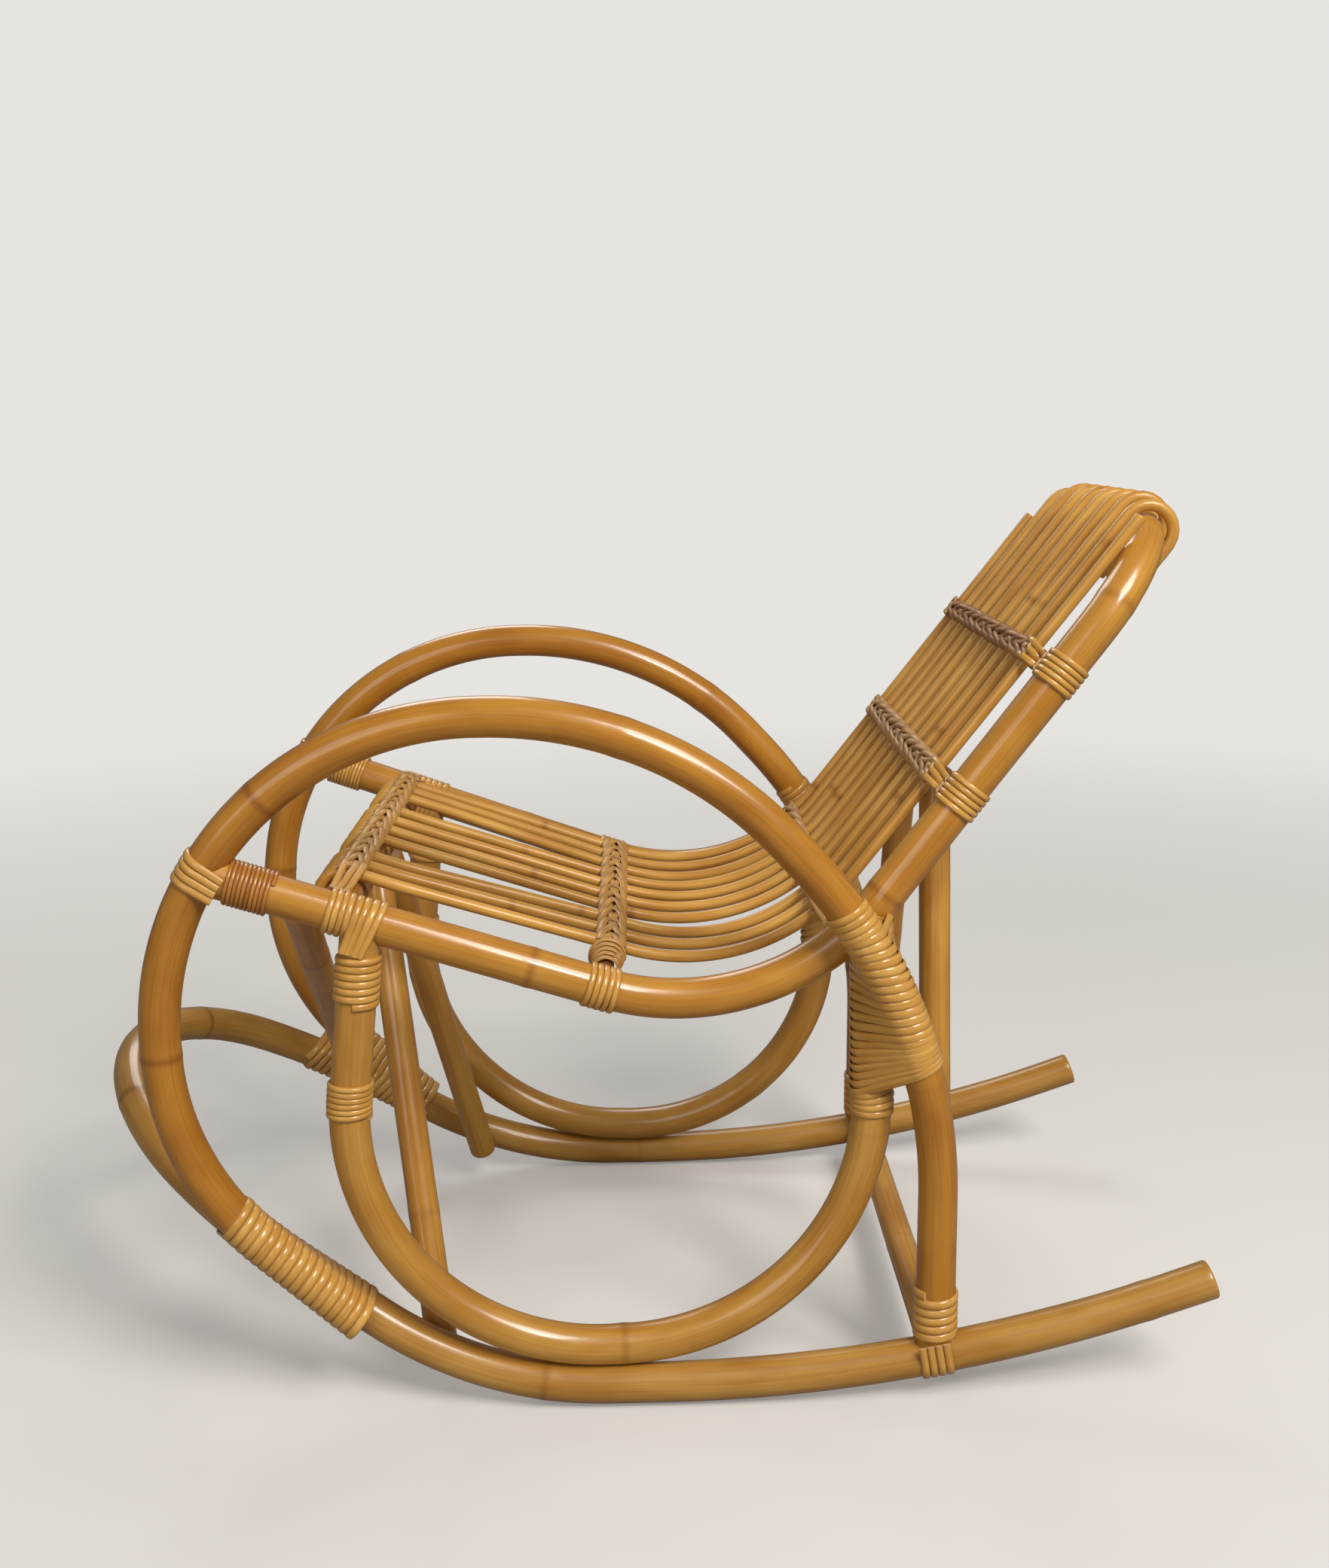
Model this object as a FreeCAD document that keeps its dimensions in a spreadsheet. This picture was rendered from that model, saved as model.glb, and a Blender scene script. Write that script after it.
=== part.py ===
"""Child's rocking chair of bent rattan poles, bound with split cane.

Millimetres. The floor is z = 0 under the runners, the chair faces -X and its left side is -Y.
"""
import FreeCAD, Part
import math
import os

from FreeCAD import Placement, Rotation, Vector

SIZES = [
    # sections
    ("pole_diameter", 26.0, "runners, bow, arm hoops, side hoops and seat frame"),
    ("brace_diameter", 21.5, "braces, struts and stretcher"),
    ("front_bar_diameter", 24.0, "bar under the front edge of the seat"),
    ("bar_diameter", 12.0, "other bars between the rails"),
    ("rod_diameter", 8.0, "seat and back rods"),
    ("strand_diameter", 2.6, "cane strand of the windings"),
    ("fine_diameter", 2.2, "thin cane strand of the rail wrap"),
    ("fit_gap", 0.2, "air between pieces that touch"),
    # sides
    ("track_width", 370.0, "between the centre lines of the two runners"),
    ("arm_height", 467.0, "centre line of the arm"),
    ("arm_front_x", -302.0, "front post of the arm hoop"),
    ("arm_back_x", 21.7, "corner where the arm turns down"),
    ("leg_x", 196.5, "back leg of the arm hoop"),
    ("leg_bend_height", 275.0, "corner between leg and slope"),
    ("arm_toe_height", 173.0, "corner where the front post turns back"),
    ("leg_bend_radius", 340.0, ""),
    ("arm_back_radius", 250.0, ""),
    ("arm_front_radius", 208.0, ""),
    ("arm_toe_radius", 183.0, ""),
    # runners and bow
    ("runner_low_x", 10.5, "where the tail starts to rise, under the centre of mass"),
    ("runner_rear_radius", 1050.0, ""),
    ("runner_tail_x", 381.0, "end of the tail"),
    ("runner_tip_length", 24.0, "straight tip of the tail"),
    ("runner_rise_x", -104.5, "corner where the runner rises to the splice"),
    ("runner_rise_radius", 280.0, ""),
    ("splice_x", -268.8, "end of the runner, start of the bow"),
    ("splice_height", 118.3, ""),
    ("splice_inset", 28.7, "how far the runner end leans in"),
    ("splice_bend_radius", 300.0, ""),
    ("bow_front_x", -372.4, ""),
    ("bow_height", 188.9, ""),
    ("bow_corner_width", 179.4, "between the corners of the bow"),
    ("bow_radius", 152.0, ""),
    # seat and back frame
    ("seat_front_height", 371.0, "rail end on the arm hoop"),
    ("seat_back_x", 89.8, "corner between seat and back"),
    ("seat_back_height", 248.0, ""),
    ("seat_bend_radius", 162.0, ""),
    ("head_x", 340.5, "head rail"),
    ("head_height", 569.0, ""),
    ("head_radius", 78.0, "corners of the head rail"),
    # side hoops
    ("hoop_front_place", 103.5, "front end under the rail, from the rail's front end"),
    ("hoop_front_spread", 32.0, "front corner ahead of the front end"),
    ("hoop_back_x", 157.5, "back corner"),
    ("hoop_back_top_x", 154.0, "back end under the rail"),
    ("hoop_radius", 165.0, ""),
    ("hoop_lean", 11.0, "how far the bottom leans out over the runner"),
    # bars, by their distance along the rail from its front end
    ("front_bar_place", 86.0, ""),
    ("middle_bar_place", 262.0, ""),
    ("bend_bar_place", 432.0, ""),
    ("back_middle_place", 548.0, ""),
    ("back_upper_place", 647.0, ""),
    # rods
    ("rod_spread", 256.0, "between the outer rods on the back"),
    ("front_rod_shift", -7.5, "rods sit a little to the left at the front"),
    ("front_group_offset", 113.5, "middle of the side groups at the front"),
    ("front_group_pitch", 23.5, "rods of a side group at the front"),
    ("front_middle_pitch", 28.0, "rods of the middle group at the front"),
    ("rod_sway_radius", 150.0, "bend of a rod sideways"),
    ("rod_sway_start", 30.0, "straight run behind the front bar"),
    ("rod_curl_angle", 95.0, "curl round the front bar"),
    ("rod_front_tail", 6.0, "end below the curl"),
    ("rod_head_slack", 4.0, "air over the head rail"),
    ("rod_head_tail", 34.0, "end behind the head rail"),
    ("rod_left_overrun", 24.0, "left outer rod past the head rail"),
    ("rod_right_overrun", 8.0, "right outer rod past the head rail"),
    # bracing
    ("front_brace_foot_x", -137.5, ""),
    ("front_brace_top_y", 20.0, "from the middle of the front bar"),
    ("front_brace_overrun", 12.0, "brace past its touch on the runner"),
    ("diagonal_place", 61.2, "top on the left rail, from the rail's front end"),
    ("diagonal_foot_x", -244.5, "on the right splice"),
    ("stretcher_rise", 5.0, "stretcher above the runner's centre line"),
    ("strut_setback", 4.5, "struts behind the leg and the back bar"),
    ("strut_foot_inset", 27.0, "strut foot from the runner's centre line"),
    ("strut_top_y", 62.0, ""),
    # windings
    ("splice_start", 10.0, "first turn above the end of the runner"),
    ("splice_length", 110.0, "length bound"),
    ("splice_turns", 18, ""),
    ("junction_tilt", 25.0, "lean of the turns round leg and hoop"),
    ("junction_drop", 32.0, "top turn below the rail"),
    ("junction_pitch", 5.6, ""),
    ("junction_turns", 16, ""),
    ("hoop_top_drop", 24.0, "first turn below the rail"),
    ("hoop_top_pitch", 4.8, ""),
    ("hoop_top_turns", 6, ""),
    ("hoop_band_drop", 108.0, "first turn below the rail"),
    ("hoop_band_pitch", 3.8, ""),
    ("hoop_band_turns", 6, ""),
    ("saddle_pitch", 5.4, "strands laid over the rail"),
    ("saddle_leg", 10.0, "strand ends below the rail's centre line"),
    ("saddle_strands", 4, ""),
    ("rail_wrap_place", 18.5, "first turn from the rail's front end"),
    ("rail_wrap_pitch", 2.75, ""),
    ("rail_wrap_turns", 10, ""),
    ("rail_end_pitch", 5.2, "strands laid over the arm hoop at the rail's end"),
    ("rail_end_leg", 9.0, "strand ends behind the arm's centre line"),
    ("rail_end_strands", 4, ""),
    ("foot_rise", 17.0, "first turn above the runner's centre line"),
    ("foot_pitch", 6.0, ""),
    ("foot_turns", 5, ""),
    ("strap_pitch", 5.4, "strands under the runner"),
    ("strap_rise", 12.0, "strand ends above the runner's centre line"),
    ("strap_strands", 4, ""),
    ("band_clear", 11.5, "first turn from the bar's centre line"),
    ("band_pitch", 3.4, ""),
    ("lashing_reach", 8.0, "strand beside each rod"),
    ("lashing_radius", 4.0, "strand over each rod"),
    # nails
    ("nail_diameter", 2.0, ""),
    ("nail_length", 40.0, ""),
    ("nail_head_diameter", 4.5, ""),
    ("nail_head_height", 1.2, ""),
    ("nail_sink", 2.5, "head below the skin of the pole"),
    ("nail_gap", 0.1, ""),
    ("nail_offset", 6.0, "stretcher nail beside the leg nail"),
]

doc = FreeCAD.newDocument("rocking_chair")
sheet = doc.addObject("Spreadsheet::Sheet", "Sizes")
for row, (alias, value, remark) in enumerate(SIZES, 1):
    sheet.set("A%d" % row, alias)
    sheet.set("B%d" % row, str(value))
    sheet.set("C%d" % row, remark)
    sheet.setAlias("B%d" % row, alias)
doc.recompute()


def size(alias):
    return float(sheet.get(alias))


UP = Vector(0, 0, 1)
SIDES = (("left", False), ("right", True))
HALVINGS = 48  # steps of a search by halves
FULL_RUN = 0.998  # share of a straight run that the bends at its ends may take
STEEPEST_TOE = 0.3  # sideways step of a rail for each step back
LEG_SHARE = 0.35  # share of the arm hoop, from its foot, that holds the leg
POST_SHARE = 0.55  # share of the arm hoop past which the front post lies
TOE_SHARE = 0.7  # share of the arm hoop past which its toe lies
BACK_SHARE = 0.9  # share of half the seat frame that ends below the head rail
HOOP_BACK_SHARE = 0.7  # share of the side hoop past which its back upright lies
BAND_TURNS = 2  # turns of a band on each side of its bar
SAME_TURN = 12  # spots along a strand that belong to one bend
NEXT_TURNS = 180  # spots along a strand that reach past its next turns
pole_r = size("pole_diameter") / 2
brace_r = size("brace_diameter") / 2
rod_r = size("rod_diameter") / 2
strand_r = size("strand_diameter") / 2
gap = size("fit_gap")
touch = size("pole_diameter") + gap
half_track = size("track_width") / 2
wrap_r = pole_r + strand_r + gap
nodes = {}


def unit(vector):
    return vector / vector.Length


def flip(vector, mirrored):
    return Vector(vector.x, -vector.y, vector.z) if mirrored else vector


def bisect(test, low, high):
    """Value between low and high where test changes from true to false."""
    for _ in range(HALVINGS):
        middle = (low + high) / 2
        if test(middle):
            low = middle
        else:
            high = middle
    return (low + high) / 2


class Path:
    """Centre line of straight moves (two points) and arcs (three points)."""

    def __init__(self, moves):
        self.moves = moves
        self.edges = []
        for move in moves:
            curve = Part.LineSegment(*move) if len(move) == 2 else Part.Arc(*move)
            self.edges.append(curve.toShape())
        self.length = sum(edge.Length for edge in self.edges)
        self.wire = Part.Wire(self.edges)

    def at(self, distance):
        """Point and direction at a distance along the line, straight on past its ends."""
        left = min(max(distance, 0.0), self.length)
        beyond = distance - left
        for edge in self.edges:
            if left <= edge.Length or edge is self.edges[-1]:
                parameter = edge.getParameterByLength(min(left, edge.Length))
                direction = unit(edge.tangentAt(parameter))
                return edge.valueAt(parameter) + direction * beyond, direction
            left -= edge.Length

    def point(self, distance):
        return self.at(distance)[0]

    def part(self, start, end):
        """The stretch between two distances."""
        moves = []
        done = 0.0
        for edge, move in zip(self.edges, self.moves):
            first = max(start, done)
            last = min(end, done + edge.Length)
            done += edge.Length
            if last - first > 1e-6:
                middle = [self.point((first + last) / 2)] if len(move) == 3 else []
                moves.append([self.point(first)] + middle + [self.point(last)])
        return Path(moves)

    def mirrored(self, mirrored):
        if not mirrored:
            return self
        return Path([[flip(point, True) for point in move] for move in self.moves])

    def where(self, plane_point, normal, low, high):
        """Distance between low and high where the line crosses a plane."""
        def before(distance):
            return (self.point(distance) - plane_point).dot(normal)
        sign = 1 if before(low) < 0 else -1
        return bisect(lambda distance: sign * before(distance) < 0, low, high)

    def where_x(self, x, low, high):
        return self.where(Vector(x, 0, 0), Vector(1, 0, 0), low, high)


def bent_path(points, radii):
    """Straight runs with a tangent arc at each corner; a bend is limited by the runs beside it."""
    runs = [after - before for before, after in zip(points, points[1:])]
    turns = [first.getAngle(second) for first, second in zip(runs, runs[1:])]
    reaches = [radius * math.tan(turn / 2) for radius, turn in zip(radii, turns)]
    reaches = [0.0] + reaches + [0.0]
    fits = []
    for run, first, second in zip(runs, reaches, reaches[1:]):
        fits.append(min(1.0, FULL_RUN * run.Length / max(first + second, 1e-9)))
    moves = []
    start = points[0]
    for index, turn in enumerate(turns):
        corner = points[index + 1]
        reach = reaches[index + 1] * min(fits[index], fits[index + 1])
        if reach < 1e-6:
            continue
        heading = unit(runs[index])
        leaving = unit(runs[index + 1])
        inward = unit(leaving - heading)
        sagitta = reach / math.tan(turn / 2) * (1 / math.cos(turn / 2) - 1)
        first = corner - heading * reach
        last = corner + leaving * reach
        moves.append([start, first])
        moves.append([first, corner + inward * sagitta, last])
        start = last
    moves.append([start, points[-1]])
    return Path(moves)


def arc_or_line(start, heading, end):
    """Move that leaves start along heading and reaches end."""
    chord = end - start
    side = heading - chord * (heading.dot(chord) / chord.dot(chord))
    if side.Length < 1e-6:
        return [start, end]
    angle = heading.getAngle(chord)
    return [start, start + chord / 2 + unit(side) * (chord.Length / 2 * math.tan(angle / 2)), end]


def biarc_path(stations, lead):
    """Two tangent arcs between each two stations (point, direction), with straight ends."""
    first, heading = stations[0]
    moves = [[first - heading * lead, first]]
    for (start, leaving), (end, arriving) in zip(stations, stations[1:]):
        chord = end - start
        along = chord.dot(leaving + arriving)
        spread = 2 * (1 - leaving.dot(arriving))
        if spread < 1e-9:
            reach = chord.dot(chord) / (2 * along)
        else:
            reach = (math.sqrt(along * along + spread * chord.dot(chord)) - along) / spread
        joint = (start + end + (leaving - arriving) * reach) / 2
        moves.append(arc_or_line(start, leaving, joint))
        moves.append(arc_or_line(end, arriving * -1, joint)[::-1])
    last, heading = stations[-1]
    moves.append([last, last + heading * lead])
    return Path(moves)


def pole(name, path, diameter, clearance=False):
    """A pole swept along its centre line; with clearance it is the tool that copes its neighbours."""
    spine = doc.addObject("Part::Feature", name + "_line")
    spine.Shape = path.wire
    section = doc.addObject("Part::Circle", name + "_section")
    extra = " + Sizes.fit_gap" if clearance else ""
    section.setExpression("Radius", "Sizes.%s / 2%s" % (diameter, extra))
    start, direction = path.at(0)
    section.Placement = Placement(start, Rotation(UP, direction))
    sweep = doc.addObject("Part::Sweep", name)
    sweep.Sections = [section]
    sweep.Spine = (spine, [])
    sweep.Solid = True
    sweep.Frenet = False
    return sweep


def straight(name, start, end, radius):
    """A round bar between two points; radius is a formula of the sheet."""
    bar = doc.addObject("Part::Cylinder", name)
    bar.setExpression("Radius", radius)
    bar.Height = (end - start).Length
    bar.Placement = Placement(start, Rotation(UP, end - start))
    return bar


def cut(name, base, tools):
    for number, tool in enumerate(tools):
        result = doc.addObject("Part::Cut", "%s_cut_%d" % (name, number))
        result.Base = base
        result.Tool = tool
        base = result
    return base


def group(name, members):
    result = doc.addObject("Part::Compound", name)
    result.Links = members
    return result


def strand(name, path, radius):
    """A cane strand swept along its turns."""
    start, direction = path.at(0)
    section = Part.Wire([Part.Circle(start, direction, radius).toShape()])
    shell = Part.BRepOffsetAPI.MakePipeShell(path.wire)
    shell.add(section)
    shell.build()
    shell.makeSolid()
    feature = doc.addObject("Part::Feature", name)
    feature.Shape = shell.shape()
    nodes[name] = feature


def turns_round(path, first, pitch, turns, radius):
    """Stations of a helix round a pole, one each half turn."""
    def place(angle):
        centre, direction = path.at(first + pitch * angle / math.tau)
        across = unit(Vector(0, 1, 0) - direction * direction.y)
        over = direction.cross(across)
        return centre + (across * math.cos(angle) + over * math.sin(angle)) * radius
    return stations_of(place, [math.pi * half for half in range(2 * int(turns) + 1)])


def stations_of(place, angles):
    step = 1e-4
    return [(place(angle), unit(place(angle + step) - place(angle - step))) for angle in angles]


def turns_round_two(path_a, path_b, first, normal, ranges, pitch, turns, radius):
    """Stations round two poles at once: half circles on each, joined by straight lines."""
    half = math.pi * radius

    def hubs(turn):
        origin = first + normal * (pitch * turn)
        a = path_a.point(path_a.where(origin, normal, *ranges[0]))
        b = path_b.point(path_b.where(origin, normal, *ranges[1]))
        return a, b

    stations = []
    for turn in range(int(turns)):
        a, b = hubs(turn)
        apart = (b - a).Length
        around = 2 * (half + apart)
        corners = (
            (0, True, -1),
            (half, True, 1),
            (half + apart, False, 1),
            (around - apart, False, -1),
        )
        for done, on_b, side in corners:
            a, b = hubs(turn + done / around)
            out = unit(b - a)
            place = (b if on_b else a) + normal.cross(out) * (side * radius)
            stations.append((place, unit(normal * pitch - out * (side * around))))
    return stations


def spread_y(place):
    """Half the width between the toed-in rails and hoops at a place along the chair."""
    return half_track - toe * (place - rail_front.x)


# The runners and the bow are one line round the chair, cut at the splices.
tail_run = size("runner_tail_x") - size("runner_low_x")
rear_r = size("runner_rear_radius")
tip = size("runner_tip_length")
tail_angle = math.asin(tail_run / math.hypot(rear_r, tip)) - math.atan2(tip, rear_r)
tail_reach = rear_r * math.tan(tail_angle / 2)
tail_corner = Vector(size("runner_low_x") + tail_reach, -half_track, pole_r)
tail_end = tail_corner + Vector(math.cos(tail_angle), 0, math.sin(tail_angle)) * (tail_reach + tip)
splice = Vector(size("splice_x"), size("splice_inset") - half_track, size("splice_height"))
half_base = [
    tail_end,
    tail_corner,
    Vector(size("runner_rise_x"), -half_track, pole_r),
    splice,
    Vector(size("bow_front_x"), -size("bow_corner_width") / 2, size("bow_height")),
]
half_radii = [rear_r, size("runner_rise_radius"), size("splice_bend_radius"), size("bow_radius")]
other_half = [flip(point, True) for point in half_base[::-1]]
base_line = bent_path(half_base + other_half, half_radii + half_radii[::-1])
splice_place = base_line.where_x(size("splice_x"), base_line.length / 4, base_line.length / 2)
runner_line = base_line.part(0, splice_place)
bow_line = base_line.part(splice_place + gap, base_line.length - splice_place - gap)

# Arm hoop: leg, slope, arm, front post and the toe that lies along the runner in the splice.
arm_end_place = splice_place + size("splice_start") - size("splice_length") - size("strand_diameter")
arm_end = base_line.point(arm_end_place)
leg_foot = runner_line.point(runner_line.where_x(size("leg_x"), 0, runner_line.length))
arm_line = bent_path(
    [
        Vector(size("leg_x"), -half_track, leg_foot.z),
        Vector(size("leg_x"), -half_track, size("leg_bend_height")),
        Vector(size("arm_back_x"), -half_track, size("arm_height")),
        Vector(size("arm_front_x"), -half_track, size("arm_height")),
        Vector(size("arm_front_x"), -half_track, size("arm_toe_height")),
        Vector(arm_end.x, -half_track, arm_end.z),
    ],
    [size("leg_bend_radius"), size("arm_back_radius"), size("arm_front_radius"), size("arm_toe_radius")],
)

# Seat frame: the rails start on the front posts and toe in until the uprights pass inside the arm hoops.
seat_level = Vector(0, 0, size("seat_front_height"))
rail_front_place = arm_line.where(seat_level, UP, arm_line.length * POST_SHARE, arm_line.length)
rail_front = arm_line.point(rail_front_place)


def frame_points(slope):
    corners = [(size("seat_back_x"), size("seat_back_height")), (size("head_x"), size("head_height"))]
    points = [rail_front]
    for x, z in corners:
        points.append(Vector(x, slope * (x - rail_front.x) - half_track, z))
    return points


def frame_line(slope):
    points = frame_points(slope)
    radii = [size("seat_bend_radius"), size("head_radius")]
    return bent_path(points + [flip(point, True) for point in points[::-1]], radii + radii[::-1])


def crosses(slope):
    line = frame_line(slope)
    upright = line.part(size("middle_bar_place"), size("back_upper_place"))
    return upright.wire.distToShape(arm_line.wire)[0] < touch


toe = bisect(crosses, 0.0, STEEPEST_TOE)
rail_line = frame_line(toe)
half_rail = rail_line.length / 2

# Side hoop: hangs under the rail, leans out a little at the bottom and rests on the runner.
hoop_back_place = rail_line.where_x(size("hoop_back_top_x"), 0, half_rail * BACK_SHARE)
hoop_tops = [rail_line.point(size("hoop_front_place")), rail_line.point(hoop_back_place)]
hoop_corners = [hoop_tops[0].x - size("hoop_front_spread"), size("hoop_back_x")]


def hoop_line(bottom):
    points = [hoop_tops[0]]
    for x in hoop_corners:
        points.append(Vector(x, -spread_y(x) - size("hoop_lean"), bottom))
    return bent_path(points + [hoop_tops[1]], [size("hoop_radius"), size("hoop_radius")])


def sinks(bottom):
    return hoop_line(bottom).wire.distToShape(runner_line.wire)[0] < touch


side_line = hoop_line(bisect(sinks, pole_r, 3 * touch))

# Profile of the seat: the bars and rods follow it, square across the chair.
profile_points = [Vector(point.x, 0, point.z) for point in frame_points(toe)]
profile = bent_path(profile_points, [size("seat_bend_radius")])


def on_profile(place, rise):
    """Point above the rail's centre line, on the sitter's side."""
    point, direction = profile.at(place)
    return point + Vector(-direction.z, 0, direction.x) * rise


BARS = [
    ("seat_front_bar", "front_bar_place", "front_bar_diameter", "lashing_front"),
    ("seat_middle_bar", "middle_bar_place", "bar_diameter", "lashing_middle"),
    ("bend_bar", "bend_bar_place", "bar_diameter", "lashing_bend"),
    ("back_middle_bar", "back_middle_place", "bar_diameter", "lashing_back_middle"),
    ("back_upper_bar", "back_upper_place", "bar_diameter", "lashing_back_upper"),
]


def bar_axis(place, diameter):
    """Middle of a bar whose top is level with the tops of the rails, and the rail's place beside it."""
    middle = on_profile(size(place), pole_r - size(diameter) / 2)
    foot = on_profile(size(place), 0)
    direction = profile.at(size(place))[1]
    rail_place = rail_line.where(foot, direction, size(place) - touch, size(place) + touch)
    return middle, rail_place


# Nails, with their holes.
def nail(number, start, direction):
    """A nail with its head at start, and the hole it sits in."""
    shank = doc.addObject("Part::Cylinder", "nail_shank_%d" % number)
    shank.setExpression("Radius", "Sizes.nail_diameter / 2")
    shank.setExpression("Height", "Sizes.nail_length")
    head = doc.addObject("Part::Cylinder", "nail_head_%d" % number)
    head.setExpression("Radius", "Sizes.nail_head_diameter / 2")
    head.setExpression("Height", "Sizes.nail_head_height")
    bore = doc.addObject("Part::Cylinder", "nail_bore_%d" % number)
    bore.setExpression("Radius", "Sizes.nail_diameter / 2 + Sizes.nail_gap")
    bore.setExpression("Height", "Sizes.nail_length + Sizes.nail_gap")
    recess = doc.addObject("Part::Cylinder", "nail_recess_%d" % number)
    recess.setExpression("Radius", "Sizes.nail_head_diameter / 2 + Sizes.nail_gap")
    recess.setExpression("Height", "Sizes.nail_head_height + Sizes.nail_gap + Sizes.pole_diameter / 2")
    for piece in (shank, head, bore):
        piece.Placement = Placement(start, Rotation(UP, direction))
    seat = start + direction * (size("nail_head_height") + size("nail_gap"))
    recess.Placement = Placement(seat, Rotation(UP, direction * -1))
    whole = doc.addObject("Part::Fuse", "nail_%d" % number)
    whole.Base = head
    whole.Tool = shank
    hole = doc.addObject("Part::Fuse", "nail_hole_%d" % number)
    hole.Base = recess
    hole.Tool = bore
    return whole, hole


bar_nails = []
bar_holes = {}
rail_holes = []
number = 0
for bar_name, place, diameter, lashing in BARS:
    middle, rail_place = bar_axis(place, diameter)
    rise = pole_r - size(diameter) / 2
    bar_holes[bar_name] = []
    for side, mirrored in SIDES:
        skin = -spread_y(rail_line.point(rail_place).x) - math.sqrt(pole_r ** 2 - rise ** 2)
        start = flip(Vector(middle.x, skin + size("nail_sink"), middle.z), mirrored)
        number += 1
        whole, hole = nail(number, start, flip(Vector(0, 1, 0), mirrored))
        bar_nails.append(whole)
        bar_holes[bar_name].append(hole)
        rail_holes.append(hole)

stretcher_height = leg_foot.z + size("stretcher_rise")
joint_nails = []
side_holes = {}
hoop_point, runner_point = side_line.wire.distToShape(runner_line.wire)[1][0]
rail_heading = rail_line.at(0)[1]
inset = pole_r - size("nail_sink")
for side, mirrored in SIDES:
    stretcher_x = size("leg_x") + size("nail_offset")
    stretcher_nail = (Vector(stretcher_x, -half_track - inset, leg_foot.z), Vector(0, 1, 0))
    leg_nail = (leg_foot - UP * inset, UP)
    down = unit(runner_point - hoop_point)
    hoop_nail = (hoop_point - down * inset, down)
    front_nail = (rail_front - rail_heading * inset, rail_heading)
    holes = []
    for start, direction in (stretcher_nail, leg_nail, hoop_nail, front_nail):
        number += 1
        whole, hole = nail(number, flip(start, mirrored), flip(direction, mirrored))
        joint_nails.append(whole)
        holes.append(hole)
    side_holes[side] = holes
nodes["bar_nails"] = group("bar_nails_group", bar_nails)
nodes["joint_nails"] = group("joint_nails_group", joint_nails)

# Poles of the two sides.
rail_tool = pole("rail_tool", rail_line, "pole_diameter", clearance=True)
bow_tool = pole("bow_tool", bow_line, "pole_diameter", clearance=True)
frame_tools = []
stretcher_tools = []
stretcher_holes = []
for side, mirrored in SIDES:
    stretcher_hole, leg_hole, hoop_hole, front_hole = side_holes[side]
    runner_side = runner_line.mirrored(mirrored)
    arm_side = arm_line.mirrored(mirrored)
    runner_tool = pole("runner_tool_" + side, runner_side, "pole_diameter", clearance=True)
    arm_tool = pole("arm_tool_" + side, arm_side, "pole_diameter", clearance=True)
    runner = pole("runner_pole_" + side, runner_side, "pole_diameter")
    runner_holes = group("runner_holes_" + side, [stretcher_hole, leg_hole, hoop_hole])
    nodes["runner_" + side] = cut("runner_" + side, runner, [runner_holes])
    arm = pole("arm_pole_" + side, arm_side, "pole_diameter")
    arm_holes = group("arm_holes_" + side, [leg_hole, front_hole])
    nodes["arm_hoop_" + side] = cut("arm_hoop_" + side, arm, [runner_tool, bow_tool, arm_holes])
    hoop = pole("hoop_pole_" + side, side_line.mirrored(mirrored), "pole_diameter")
    nodes["side_hoop_" + side] = cut("side_hoop_" + side, hoop, [rail_tool, hoop_hole])
    frame_tools.append(arm_tool)
    rail_holes.append(front_hole)
    stretcher_tools += [runner_tool, arm_tool]
    stretcher_holes.append(stretcher_hole)
nodes["front_bow"] = pole("front_bow_pole", bow_line, "pole_diameter")
frame_pole = pole("frame_pole", rail_line, "pole_diameter")
frame_tools.append(group("rail_holes", rail_holes))
nodes["seat_back_frame"] = cut("seat_back_frame", frame_pole, frame_tools)

# Bars between the rails.
for bar_name, place, diameter, lashing in BARS:
    middle, rail_place = bar_axis(place, diameter)
    reach = Vector(0, spread_y(rail_line.point(rail_place).x), 0)
    bar_r = "Sizes.%s / 2" % diameter
    bar = straight(bar_name + "_round", middle - reach, middle + reach, bar_r)
    holes = group(bar_name + "_holes", bar_holes[bar_name])
    nodes[bar_name] = cut(bar_name, bar, [rail_tool, holes])

# Stretcher between the feet of the legs, and the struts from it up to the middle back bar.
stretcher_start = Vector(size("leg_x"), -half_track, stretcher_height)
stretcher_end = flip(stretcher_start, True)
BRACE_R = "Sizes.brace_diameter / 2"
stretcher = straight("stretcher_round", stretcher_start, stretcher_end, BRACE_R)
stretcher_tools.append(group("stretcher_holes", stretcher_holes))
nodes["rear_stretcher"] = cut("rear_stretcher", stretcher, stretcher_tools)
stretcher_tool = straight(
    "stretcher_tool", stretcher_start, stretcher_end, BRACE_R + " + Sizes.fit_gap"
)
front_bar_middle = bar_axis("front_bar_place", "front_bar_diameter")[0]
back_bar_middle = bar_axis("back_middle_place", "bar_diameter")[0]
under_lashing = size("strand_diameter") + 4 * gap
strut_level = back_bar_middle.z - size("bar_diameter") / 2 - under_lashing
for side, mirrored in SIDES:
    setback = size("strut_setback")
    foot = Vector(size("leg_x") + setback, size("strut_foot_inset") - half_track, stretcher_height)
    top = Vector(back_bar_middle.x + setback, -size("strut_top_y"), back_bar_middle.z)
    strut = straight("strut_round_" + side, flip(foot, mirrored), flip(top, mirrored), BRACE_R)
    above = doc.addObject("Part::Cylinder", "strut_top_" + side)
    above.setExpression("Radius", "2 * Sizes.brace_diameter")
    above.Height = touch
    above.Placement = Placement(flip(Vector(top.x, top.y, strut_level), mirrored), Rotation())
    nodes["rear_strut_" + side] = cut("rear_strut_" + side, strut, [stretcher_tool, above])

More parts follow.
